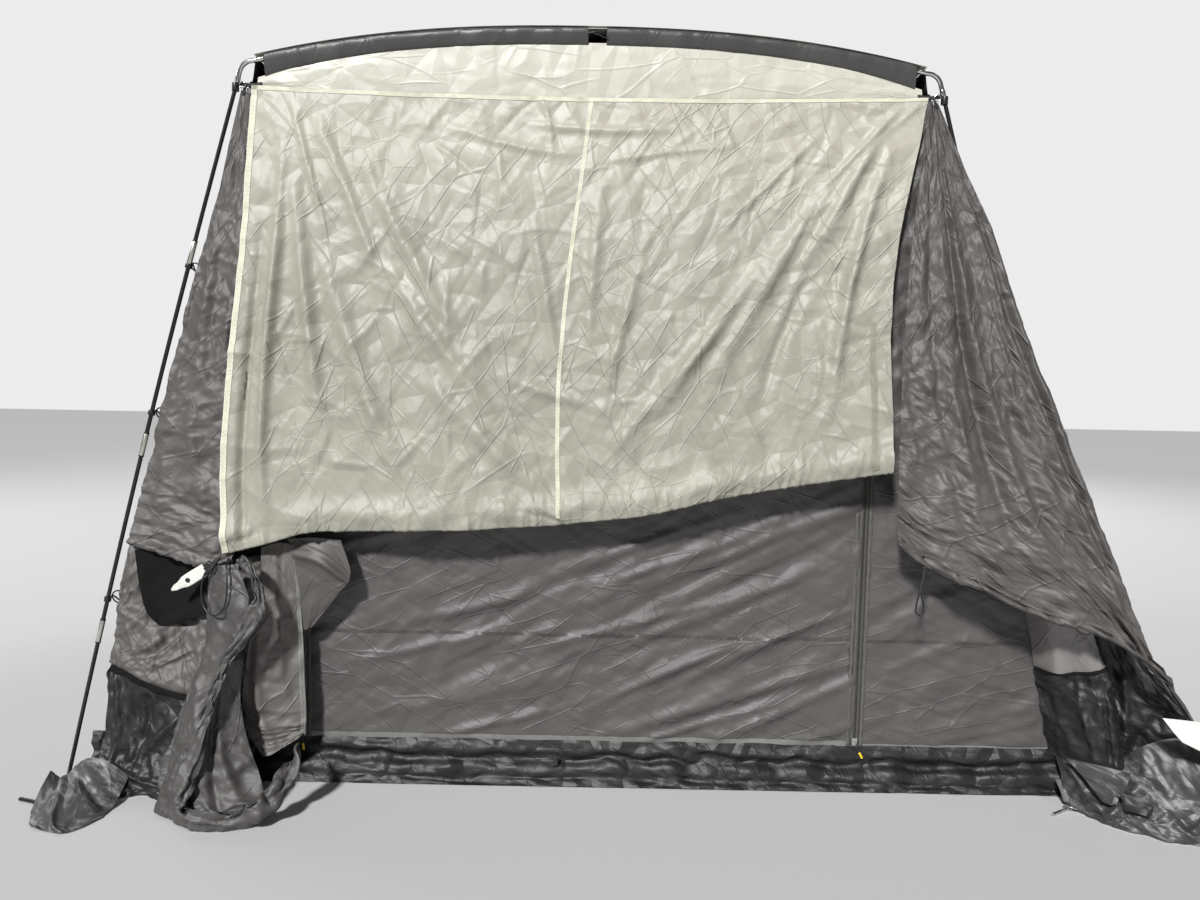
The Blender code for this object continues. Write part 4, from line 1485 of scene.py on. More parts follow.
@dataclass
class PoleClip:
    """Black clip that ties the wall's corner to a leg."""

    side: Side
    end: End
    z: float
    large: bool = False
    ring_size: tuple[float, float, float] = (0.0092, 0.013, 0.0014)
    hook_waves: tuple[float, float] = (0.008, 0.013)
    hook_r: float = 0.0022
    eye_r: float = 0.0020
    tails: tuple[float, float] = (0.020, 0.045)
    tail_width: float = 0.010
    tail_t: float = 0.0016

    def build(self) -> None:
        """Build and dress the clip."""
        name = f"{self.end.word}_clip_{self.side.word}_{round(self.z * 100)}"
        leg = PLAN.leg_point(self.side, self.end, self.z)
        up = (PLAN.leg_point(self.side, self.end, self.z + 0.02)
              - PLAN.leg_point(self.side, self.end, self.z - 0.02)).normalized()
        y = PLAN.plane_y(self.end) + self.end.value * 0.004
        wall = Vector((self.side.value * (PLAN.corner_x(self.z) + 0.001), y, self.z - 0.006))
        hand_over(turned_collar(f"{name}_ring", leg, up, *self.ring_size), BLACK_PLASTIC)
        middle = (leg + wall) / 2
        reach = (wall - leg).length
        size = self.hook_waves[self.large]
        hook = [leg + (wall - leg) * t + Vector((0, 0, size * math.sin(t * math.pi * 2.6)))
                for t in np.linspace(0.15, 1.0, 20)]
        hand_over(bent_bar(f"{name}_hook", hook, self.hook_r, 3), BLACK_PLASTIC)
        axis = Vector((0.0, 1.0, 0.25))
        eye = ring(f"{name}_eye", middle + Vector((0, 0, 0.002)), axis, max(0.30 * reach, 0.006), self.eye_r)
        hand_over(eye, BLACK_PLASTIC)
        tail = self.tails[self.large]
        path = [wall + Vector((0, self.end.value * 0.003, -tail * t)) for t in np.linspace(-0.2, 1, 8)]
        strap(f"{name}_tail", path, Vector((1, 0, 0)), self.tail_width, self.tail_t, WEBBING)


@dataclass
class SleevePair:
    """The two cloth sleeves on a roof pole, with the lashing across their gap."""

    end: End
    rise: float = 0.012
    depth: float = 0.045
    flare: float = 0.018
    half_width: float = 0.0098
    reach: float = 0.885
    gap_centre: float = 0.018
    gap_half: float = 0.025
    turns: int = 28
    lashing_lap: float = 0.004
    lashing_r: float = 0.0018

    def drop(self, x: float) -> float:
        """Drop of the sleeve below the pole at x."""
        return self.depth - self.rise + self.flare * abs(x / PLAN.arch_half) ** 6

    def build(self) -> None:
        """Build and dress both sleeves and the lashing."""
        spans = ((Side.LEFT, -self.reach, self.gap_centre - self.gap_half),
                 (Side.RIGHT, self.gap_centre + self.gap_half, self.reach))
        for side, start, stop in spans:
            self.build_sleeve(side, start, stop)
        if self.end is End.REAR:
            self.build_lashing()

    def build_sleeve(self, side: Side, start: float, stop: float) -> None:
        """One sleeve as a seamed tube round the pole."""
        y = PLAN.plane_y(self.end)
        xs = np.linspace(start, stop, 12)
        rows = []
        for k in range(self.turns + 1):
            turn = 2 * math.pi * k / self.turns
            row = []
            for x in xs:
                high = -math.cos(turn)
                reach = self.rise if high > 0 else self.drop(float(x))
                bulge = self.half_width * math.sin(turn) * (1.0 - 0.35 * max(-high, 0.0))
                row.append((float(x), y + bulge, PLAN.arch_z(float(x)) + reach * high))
            rows.append(row)
        cloth = Cloth(rows, 0.006, SEED + side.value + 3 * self.end.value).firm()
        ends = [Fold(u, cloth.length * 0.5, math.pi / 2 + a, 0.05, 0.006, 0.0016, 0.0, False)
                for u, a in zip(np.linspace(0.006, 0.12, 9), np.linspace(0.1, 0.5, 9))]
        mirrored = [replace(f, u=cloth.width - f.u, angle=math.pi - f.angle) for f in ends]
        wrinkles = FoldFamily(230, (0.02, 0.06), (0.006, 0.014), (0.0005, 0.0016), (1.9, 1.2), 0.4, 1.0)
        cloth.fold(ends).fold(mirrored).scatter(wrinkles).crumple(0.0011, 0.06, 2).settle()
        node = f"{self.end.word}_sleeve_{side.word}"
        cloth.piece(f"{node}_cloth", SLEEVE_CLOTH, Hold.STRETCHED, [f"{self.end.word}_roof_pole"], [node])

    def build_lashing(self) -> None:
        """White tape over the gap and two thin black cords that cross in it."""
        left, right = self.gap_centre - self.gap_half, self.gap_centre + self.gap_half
        z = PLAN.crown_z
        left, right = left - self.lashing_lap, right + self.lashing_lap
        top = [Vector((x, -0.001, z + 0.0085 + 0.001 * math.sin(9 * x)))
               for x in np.linspace(left, right, 12)]
        strap("gap_tape", top, Vector((0, 1, 0)), 0.012, 0.0012, LABEL_CLOTH)
        for i, (a, b) in enumerate(((-0.006, 0.004), (0.003, -0.019))):
            ends = [(left, -0.0085, z + a), (self.gap_centre - 0.008, -0.010, z + blend(a, b, 0.4)),
                    (self.gap_centre + 0.008, -0.010, z + blend(a, b, 0.65)), (right, -0.0085, z + b)]
            hand_over(bent_bar(f"gap_cord_{i + 1}", smooth_path(ends, 16), self.lashing_r, 3), BLACK_PLASTIC)


@dataclass
class Gable:
    """Pale lune between the sleeve and the eaves' seam."""

    end: End
    seam_middle: float = 1.933
    seam_rise: float = 0.016
    half: float = 0.905

    def build(self) -> None:
        """Build and dress the gable."""
        y = PLAN.plane_y(self.end)
        out = self.end.value
        sleeves = SleevePair(self.end)
        xs = np.linspace(-self.half, self.half, 15)
        if self.end is End.FRONT:
            xs = xs[::-1]
        top, bottom = [], []
        for x in map(float, xs):
            seam = self.seam_middle + self.seam_rise * (x / self.half) ** 2
            top.append((x, y - out * 0.001, max(PLAN.arch_z(x) - sleeves.drop(x) + 0.006, seam + 0.006)))
            bottom.append((x, y + out * 0.002, seam))
        middle = [(b[0], y + out * 0.003, (a[2] + b[2]) / 2) for a, b in zip(top, bottom)]
        cloth = Cloth([top, middle, bottom], FINE_STEP, SEED + 11).firm()
        level = FoldFamily(190, (0.04, 0.14), (0.005, 0.010), (0.0007, 0.0020), (0.0, 0.1, -0.12), 0.2, 0.6)
        cloth.scatter(level, replace(SHORT, per_metre=220, height=(0.0006, 0.0016))).crumple(0.0018, 0.07, 3)
        cloth.calm(top=0.012, bottom=0.008).settle()
        node = f"{self.end.word}_gable"
        cloth.piece(f"{node}_cloth", CREAM_TOP, Hold.STRETCHED, [f"{self.end.word}_sleeve_left"], [node])


@dataclass
class EndWall:
    """Wall of one end: side parts, top, zipped door and skirt."""

    end: End
    seam_z: float = 1.942
    door_left: float = -0.800
    door_right: float = 0.800
    door_top: float = 1.620
    skirt_z: float = 0.120
    fold_z: float = 0.432
    step: float = WALL_STEP
    cloth_out: float = 0.0018
    top_drop: float = 0.015
    zip_reach: float = 0.003
    sway: float = 0.005
    seam_half: float = 0.0035

    def face(self, panel: str, spans: Callable[[float], tuple[float, float]], low: float, high: float,
             step: float, seed: int) -> Cloth:
        """Lay a flat panel of the wall.

        Args:
            panel: word for the log.
            spans: left and right edge at a height, seen from outside at the rear.
            low: lowest height.
            high: highest height.
            step: grid step.
            seed: start of the random draws.

        Returns:
            The cloth.
        """
        y = PLAN.plane_y(self.end) + self.end.value * self.cloth_out
        rows = []
        for z in np.linspace(high, low, 9):
            a, b = spans(float(z))
            if self.end is End.FRONT:
                a, b = b, a
            rows.append([(float(x), y, float(z)) for x in np.linspace(a, b, 4)])
        log.info("laying %s %s", self.end.word, panel)
        cloth = Cloth(rows, step, seed).firm()
        return cloth

    def build(self) -> None:
        """Build and dress the wall."""
        self.build_door()
        self.build_sides()
        self.build_top()
        self.build_skirt()

    def build_door(self) -> None:
        """Door panel with slanting tension folds towards the zips."""
        fine = self.step if self.end is End.REAR else PLAIN_STEP
        cloth = self.face("door", lambda z: (self.door_left, self.door_right), self.skirt_z, self.door_top,
                          fine, SEED + 31)
        rng = cloth.rng
        sweeps = []
        for v in np.arange(0.25, cloth.length + 0.30, 0.055):
            sweeps.append(Fold(float(rng.uniform(1.0, 1.5)), float(v) + rng.uniform(-0.012, 0.012),
                               -0.36 + rng.uniform(-0.10, 0.10), float(rng.uniform(0.20, 0.55)),
                               float(rng.uniform(0.014, 0.028)), float(rng.uniform(0.0060, 0.0150)),
                               float(rng.uniform(-0.2, 0.1))))
            sweeps.append(Fold(float(rng.uniform(0.1, 0.9)), float(v) + rng.uniform(-0.02, 0.02),
                               -0.34 + rng.uniform(-0.14, 0.14), float(rng.uniform(0.12, 0.35)),
                               float(rng.uniform(0.014, 0.028)), float(rng.uniform(0.0040, 0.0110)), 0.1))
        falling = FoldFamily(26, (0.06, 0.20), (0.005, 0.009), (0.0016, 0.0034), (0.46, 0.38), 0.10, 0.1)
        rising = FoldFamily(36, (0.05, 0.16), (0.006, 0.012), (0.0014, 0.0036), (-0.42, -0.52, -0.30),
                            0.1, 0.4)
        cloth.fold(sweeps).scatter(falling, rising, replace(SHORT, per_metre=70, height=(0.0008, 0.0018)))
        cloth.ridges(0.0075, 0.036, 0.30, -0.46, 0.4).ridges(0.0030, 0.018, 0.12, -0.60, 0.7)
        cloth.ridges(0.0016, 0.017, 0.22, 0.47, 1.0).crumple(0.0020, 0.12, 3)
        cloth.side_pucker(90, 0.03, 0.0016, True).side_pucker(90, 0.03, 0.0016, False)
        cloth.calm(left=0.012, right=0.012, bottom=0.02).settle()
        self.trim(cloth, f"{self.end.word}_door")
        node = f"{self.end.word}_door"
        cloth.piece(f"{node}_cloth", GREY_BODY, Hold.STRETCHED, [f"{self.end.word}_wall_top"], [node])

    def trim(self, cloth: Cloth, name: str) -> None:
        """Level seam across a panel and, at its foot, the pale tape."""
        down = (cloth.points[0, 0, 2] - self.fold_z) / (cloth.points[0, 0, 2] - cloth.points[-1, 0, 2])
        span = self.seam_half / cloth.length
        cloth.tape(f"{name}_level_seam", SEAM_CLOTH, FULL, (down - span, down + span))
        cloth.tape(f"{name}_foot_tape", PALE_TAPE, FULL, (1.0 - PALE_TAPE.width / cloth.length, 1.0),
                   level=True)

    def build_sides(self) -> None:
        """Wall parts beside the door."""
        for side in Side:
            def spans(z: float, side: Side = side) -> tuple[float, float]:
                """Edges of the part at a height."""
                if side is Side.LEFT:
                    return -PLAN.corner_x(z), self.door_left
                return self.door_right, PLAN.corner_x(z)
            fine = self.step if self.end is End.REAR else PLAIN_STEP
            node = f"{self.end.word}_wall_{side.word}"
            cloth = self.face(node, spans, self.skirt_z, self.seam_z, fine, SEED + 41 + side.value)
            cloth.scatter(replace(MEDIUM, per_metre=50, height=(0.0020, 0.0050)),
                          replace(SHORT, per_metre=170, height=(0.0010, 0.0024))).crumple(0.0030, 0.10, 3)
            cloth.ridges(0.0080, 0.042, 0.26, -0.5 * side.value)
            cloth.ridges(0.0030, 0.018, 0.12, 0.5, 0.9).crinkle(0.5)
            beside = np.exp(-((np.abs(cloth.points[..., 0]) - self.door_right) / 0.05) ** 2)
            cloth.lift *= 1.0 - 0.92 * beside
            at_zip = (side is Side.RIGHT) == (self.end is End.REAR)
            cloth.side_pucker(80, 0.035, 0.0016, not at_zip).calm(left=0.01, right=0.01, bottom=0.02).settle()
            if self.end is End.REAR:
                self.trim(cloth, node)
            cloth.piece(f"{node}_cloth", GREY_BODY, Hold.STRETCHED, [f"{self.end.word}_leg_{side.word}"],
                        [node])

    def build_top(self) -> None:
        """Wall part over the door."""
        high = self.seam_z - self.top_drop
        cloth = self.face("top", lambda z: (self.door_left, self.door_right), self.door_top, high, PLAIN_STEP,
                          SEED + 51)
        gable = Gable(self.end)
        seam = gable.seam_middle + gable.seam_rise * (cloth.points[..., 0] / gable.half) ** 2
        near = (cloth.points[..., 2] - self.door_top) / (high - self.door_top)
        cloth.points[..., 2] += (seam + 0.002 - high) * near
        cloth.points[..., 1] -= self.end.value * 0.001 * near
        cloth.scatter(replace(MEDIUM, per_metre=40)).crumple(0.0015, 0.1, 2)
        cloth.calm(0.02, 0.02, 0.02, 0.02).settle()
        node = f"{self.end.word}_wall_top"
        cloth.piece(f"{node}_cloth", GREY_BODY, Hold.STRETCHED, [f"{self.end.word}_gable"], [node])

    def build_skirt(self) -> None:
        """Crumpled film skirt that turns out over the floor."""
        y, out = PLAN.plane_y(self.end), self.end.value
        half = PLAN.corner_x(0.0) - 0.002
        profile = ((0.0022, self.skirt_z + 0.004), (0.0085, 0.108), (0.014, 0.092), (0.004, 0.077),
                   (0.003, 0.063), (0.022, 0.050), (0.030, 0.034), (0.028, 0.019), (0.038, 0.009),
                   (0.045, 0.001))
        xs = np.linspace(-half, half, 45)
        if self.end is End.FRONT:
            xs = xs[::-1]
        draws = np.random.default_rng(SEED + 61).uniform(-1, 1, len(xs))
        free = 1.0 - np.exp(-((np.abs(xs) - self.door_right) / 0.06) ** 2)
        rows = []
        for i, (reach, z) in enumerate(profile):
            row = []
            for x, s, f in zip(xs, draws, free):
                stand = blend(min(reach, self.zip_reach), reach, f if i < 4 else 1.0)
                stand += self.sway * s * (3 < i < 8)
                row.append((float(x), y + out * stand, z + self.sway * s * (1 < i < 8)))
            rows.append(row)
        cloth = Cloth(rows, self.step * 0.85 if self.end is End.REAR else PLAIN_STEP, SEED + 62)
        level = FoldFamily(330, (0.03, 0.11), (0.006, 0.013), (0.0020, 0.0055), (0.0, 0.15, -0.15), 0.3, 1.5)
        cloth.scatter(replace(level, per_metre=160)).crumple(0.0050, 0.085, 3)
        cloth.ridges(0.0080, 0.026, 0.20, 0.05).ridges(0.0030, 0.014, 0.07, -0.3)
        beside = 1.0 - 0.95 * np.exp(-((np.abs(cloth.points[..., 0]) - self.door_right) / 0.04) ** 2)
        cloth.lift *= np.where(cloth.points[..., 2] > 0.05, beside, 1.0)
        cloth.calm(top=0.012).settle().above(FLOOR_GAP)
        node = f"{self.end.word}_skirt"
        cloth.piece(f"{node}_film", FILM, Hold.LAID, [f"{self.end.word}_wall_left"], [node])


@dataclass
class Roof:
    """Pale roof from arch to arch."""

    half: float = 0.915
    step: float = 0.0135
    sag: float = 0.035
    lift: float = 0.0151
    lap: float = 0.006
    seam_half: float = 0.0022

    def build(self) -> None:
        """Build and dress the roof and its seams."""
        rows = []
        for y in np.linspace(PLAN.depth + self.lap, -self.lap, 9):
            share = 1 - (y + self.lap) / (PLAN.depth + 2 * self.lap)
            row = []
            for x in np.linspace(-self.half, self.half, 17):
                sag = self.sag * math.sin(math.pi * share) * math.sin(math.pi * abs(x) / self.half)
                row.append((float(x), float(y), PLAN.arch_z(float(x)) + self.lift - sag))
            rows.append(row)
        cloth = Cloth(rows, self.step, SEED + 71)
        fine = replace(SHORT, per_metre=90, height=(0.0006, 0.0016))
        cloth.scatter(SOFT, replace(PACKING, per_metre=12), fine)
        cloth.crumple(0.0022, 0.13, 3).calm(0.03, 0.03, 0.02, 0.02).settle()
        for i, share in enumerate((1 / 3, 2 / 3)):
            span = (share - self.seam_half, share + self.seam_half)
            cloth.tape(f"roof_seam_{i + 1}", SEAM_TAPE, FULL, span, SEAM_LIFT, level=True)
        cloth.piece("roof_cloth", CREAM_TOP, Hold.STRETCHED,
                    ["rear_roof_pole", "front_roof_pole", "ridge_pole"], ["roof"])


@dataclass
class SideWall:
    """Side wall between the arches, with its skirt."""

    side: Side
    seam_z: float = 1.940
    skirt_z: float = 0.120
    seam_share: float = (1.94 - 0.432) / 1.83
    step: float = 0.0165
    skirt_step: float = 0.012
    roof_edge: float = 0.914

    def build(self) -> None:
        """Build and dress the side."""
        s = self.side.value
        ys = np.linspace(0.0085, PLAN.depth - 0.0085, 7)
        low_ys = np.linspace(0.0025, PLAN.depth - 0.0025, 7)
        if self.side is Side.LEFT:
            ys, low_ys = ys[::-1], low_ys[::-1]
        edge = self.roof_edge
        rows = [[(s * edge, float(y), PLAN.arch_z(edge) + 0.0125) for y in ys],
                [(s * 0.924, float(y), 1.965) for y in ys]]
        for z in np.linspace(self.seam_z, self.skirt_z, 9):
            rows.append([(s * (PLAN.corner_x(float(z)) - 0.002), float(y), float(z)) for y in low_ys])
        cloth = Cloth(rows, self.step, SEED + 81 + s)
        slant = [Fold(u, v, a, 0.5, 0.03, 0.006) for u, v, a in
                 ((0.3, 0.6, 0.9), (2.1, 0.7, 2.2), (0.5, 1.3, 0.7), (1.9, 1.4, 2.4), (1.2, 0.4, 0.1))]
        cloth.fold(slant).scatter(SOFT, replace(PACKING, per_metre=14), replace(SHORT, per_metre=70))
        cloth.crumple(0.0024, 0.12, 3).calm(0.02, 0.02, 0.012, 0.012).settle()
        node = f"side_wall_{self.side.word}"
        span = (self.seam_share, self.seam_share + 0.006)
        cloth.tape(f"{node}_level_seam", SEAM_CLOTH, FULL, span, SEAM_LIFT)
        cloth.piece(f"{node}_cloth", GREY_BODY, Hold.STRETCHED, ["roof_cloth"], [node])
        self.build_skirt(low_ys)

    def build_skirt(self, ys: np.ndarray) -> None:
        """Film skirt along the side, bulging out to the floor."""
        s = self.side.value
        base = PLAN.corner_x(self.skirt_z)
        rows = []
        top = (-0.002, self.skirt_z + 0.003)
        for out, z in (top, (0.000, 0.085), (0.008, 0.05), (0.014, 0.02), (0.024, 0.001)):
            rows.append([(s * (base + out), float(y), z) for y in ys])
        cloth = Cloth(rows, self.skirt_step, SEED + 91 + s)
        cloth.scatter(replace(CRISP, per_metre=300)).crumple(0.0045, 0.08, 3)
        cloth.calm(top=0.015).settle().above(FLOOR_GAP)
        node = f"side_skirt_{self.side.word}"
        cloth.piece(f"{node}_film", FILM_THIN, Hold.LAID, [f"side_wall_{self.side.word}_cloth"], [node])


@dataclass
class TunnelRoof:
    """Pale tunnel roof, hanging from the eaves' seam with a gathered hem."""

    left: tuple[tuple[float, float], ...] = (
        (-0.921, 1.945), (-0.930, 1.755), (-0.940, 1.479), (-0.957, 1.263), (-0.975, 1.069), (-0.983, 0.878),
        (-0.971, 0.680))
    right: tuple[tuple[float, float], ...] = (
        (0.921, 1.945), (0.889, 1.839), (0.851, 1.601), (0.830, 1.456), (0.822, 1.220), (0.830, 1.100),
        (0.834, 0.938))
    hem: tuple[tuple[float, float], ...] = (
        (-0.971, 0.680), (-0.837, 0.742), (-0.600, 0.752), (-0.307, 0.761), (-0.090, 0.775), (0.200, 0.806),
        (0.460, 0.858), (0.650, 0.900), (0.834, 0.938))
    seam_middle: float = 1.933
    seam_rise: float = 0.016
    row_spans: int = 14
    column_spans: int = 16
    shade_inset: float = 0.040
    shade_width: float = 0.018

    @staticmethod
    def reach(share: float) -> float:
        """Distance in front of the wall at a share of the drop."""
        return 0.0056 + 0.112 * max(share - 0.03, 0.0) ** 0.8

    def rows(self) -> Rows:
        """Control rows of the hanging sheet."""
        rows = []
        for j in range(self.row_spans + 1):
            share = j / self.row_spans
            a, b = along(self.left, share), along(self.right, share)
            row = []
            for i in range(self.column_spans + 1):
                u = i / self.column_spans
                x = blend(a[0], b[0], u)
                top = self.seam_middle + self.seam_rise * (2 * u - 1) ** 2
                fold = 0.010 * share * math.cos(6 * math.pi * u)
                row.append((x, -(self.reach(share) + fold), blend(top, along(self.hem, u)[1], share)))
            rows.append(row)
        return rows

    def build(self) -> None:
        """Build and dress the tunnel roof with its seams and tapes."""
        cloth = Cloth(self.rows(), FINE_STEP, SEED + 101)
        w = cloth.width
        table = (
            (0.30, 0.30, 63, 0.30, 0.020, 0.008), (0.47, 0.42, 56, 0.34, 0.028, 0.010),
            (0.20, 0.55, 78, 0.38, 0.024, 0.012), (0.36, 0.72, 66, 0.34, 0.030, 0.011),
            (0.58, 0.66, 50, 0.32, 0.026, 0.009), (0.70, 0.90, 44, 0.24, 0.030, 0.009),
            (0.105, 0.62, 89, 0.52, 0.018, 0.013), (0.055, 0.80, 90, 0.50, 0.014, -0.010),
            (0.17, 0.20, 70, 0.20, 0.012, 0.006), (0.90, 0.80, 20, 0.18, 0.022, 0.006),
            (w - 0.20, 0.38, 108, 0.40, 0.030, 0.013), (w - 0.33, 0.50, 116, 0.38, 0.034, 0.012),
            (w - 0.27, 0.62, 106, 0.34, 0.024, -0.010), (w - 0.48, 0.66, 124, 0.30, 0.030, 0.010),
            (w - 0.12, 0.55, 96, 0.44, 0.022, 0.014), (w - 0.62, 0.82, 134, 0.24, 0.030, 0.008),
            (w - 0.16, 0.16, 125, 0.16, 0.012, 0.006), (w - 0.38, 0.24, 128, 0.20, 0.014, 0.006),
            (0.95, 0.09, 2, 0.24, 0.014, 0.005, 0.3), (1.15, 0.15, -6, 0.20, 0.012, 0.004, -0.2),
            (0.70, 0.13, 12, 0.22, 0.014, 0.005, 0.4), (0.98, 0.45, 88, 0.30, 0.022, 0.006),
            (0.86, 0.55, 74, 0.30, 0.020, 0.006), (1.08, 0.62, 100, 0.28, 0.020, 0.007),
        )
        swags = [Fold(u, v, math.radians(turn), length, width, 2.0 * height, *bend)
                 for u, v, turn, length, width, height, *bend in table]
        packing = replace(PACKING, per_metre=60, half_length=(0.06, 0.26), half_width=(0.005, 0.010),
                          height=(0.0012, 0.0030), angles=(1.03, 2.08, 0.5, 2.6), spread=0.16)
        slanted = replace(MEDIUM, per_metre=40, half_length=(0.05, 0.16), height=(0.0040, 0.0085),
                          angles=(0.9, 2.1, 1.5, 0.2), spread=0.35)
        cloth.fold(swags).scatter(SOFT, packing, slanted, replace(SHORT, per_metre=130))
        cloth.crumple(0.0036, 0.12, 2)
        cloth.ridges(0.0036, 0.055, 0.36, 1.08, 0.8).ridges(0.0030, 0.050, 0.32, 2.05, 0.8)
        cloth.ridges(0.0009, 0.024, 0.16, 1.30, 1.0).ridges(0.0008, 0.026, 0.14, 0.35, 1.0)
        cloth.push(lambda u, v: 0.018 * np.exp(-((v - 0.965) / 0.028) ** 2)
                   * (0.8 + 0.35 * np.sin(23 * u + 3 * v) + 0.25 * np.sin(61 * u + 1)))
        cloth.pucker(75, (0.02, 0.075), (0.002, 0.0065)).pucker(20, (0.06, 0.16), (0.003, 0.008))
        cloth.calm(top=0.02).settle()
        self.build_trims(cloth)
        cloth.roll_hem(0.006, 0.016)
        cloth.piece("tunnel_roof_cloth", CREAM, Hold.GATHERED, ["rear_gable_cloth"], ["tunnel_roof"],
                    slack=1.04)

    def build_trims(self, cloth: Cloth) -> None:
        """Centre seam, stitched edge strip and, by the right edge, a dark olive strip that paints the shade of
        a fold.
        """
        centre = 0.5 + 0.006 / cloth.width
        half = SEAM_TAPE.width / 2 / cloth.width
        cloth.tape("tunnel_roof_centre_seam", SEAM_TAPE, (centre - half, centre + half), (0.0, 0.985),
                   SEAM_LIFT)
        edge = replace(SEAM_TAPE, name="cream_edge_strip", width=0.016)
        cloth.tape("tunnel_roof_left_edge", edge, (0.0, edge.width / cloth.width), FULL)
        # Painted shade: the dark strip by the right edge paints a fold's shaded band.
        shade = 1.0 - self.shade_inset / cloth.width
        cloth.tape("tunnel_roof_side_tape", FOLD_SHADE_STRIP, (shade - self.shade_width / cloth.width, shade),
                   (0.60, 0.99), 0.0014)
        eaves = replace(SEAM_TAPE, name="eaves_seam_tape", width=0.010)
        cloth.tape("eaves_seam", eaves, FULL, (0.0, eaves.width / cloth.length), level=True)


def hanging_rows(left: Sequence[Point], right: Sequence[Point], drops: Sequence[float], columns: int,
                 lines: int) -> Rows:
    """Control rows of a tunnel wall that hangs between two edges.

    Args:
        left: its left edge, top first.
        right: its right edge, top first.
        drops: how far the hem is raised, from left to right.
        columns: number of control columns.
        lines: number of control rows.

    Returns:
        The rows.
    """
    rows = []
    for j in range(lines + 1):
        share = j / lines
        a, b = along(left, share), along(right, share)
        row = []
        for i in range(columns + 1):
            u = i / columns
            x, y, z = (blend(p, q, u) for p, q in zip(a, b))
            row.append((x, y, z + along([(d,) for d in drops], u)[0] * share ** 3))
        rows.append(row)
    return rows


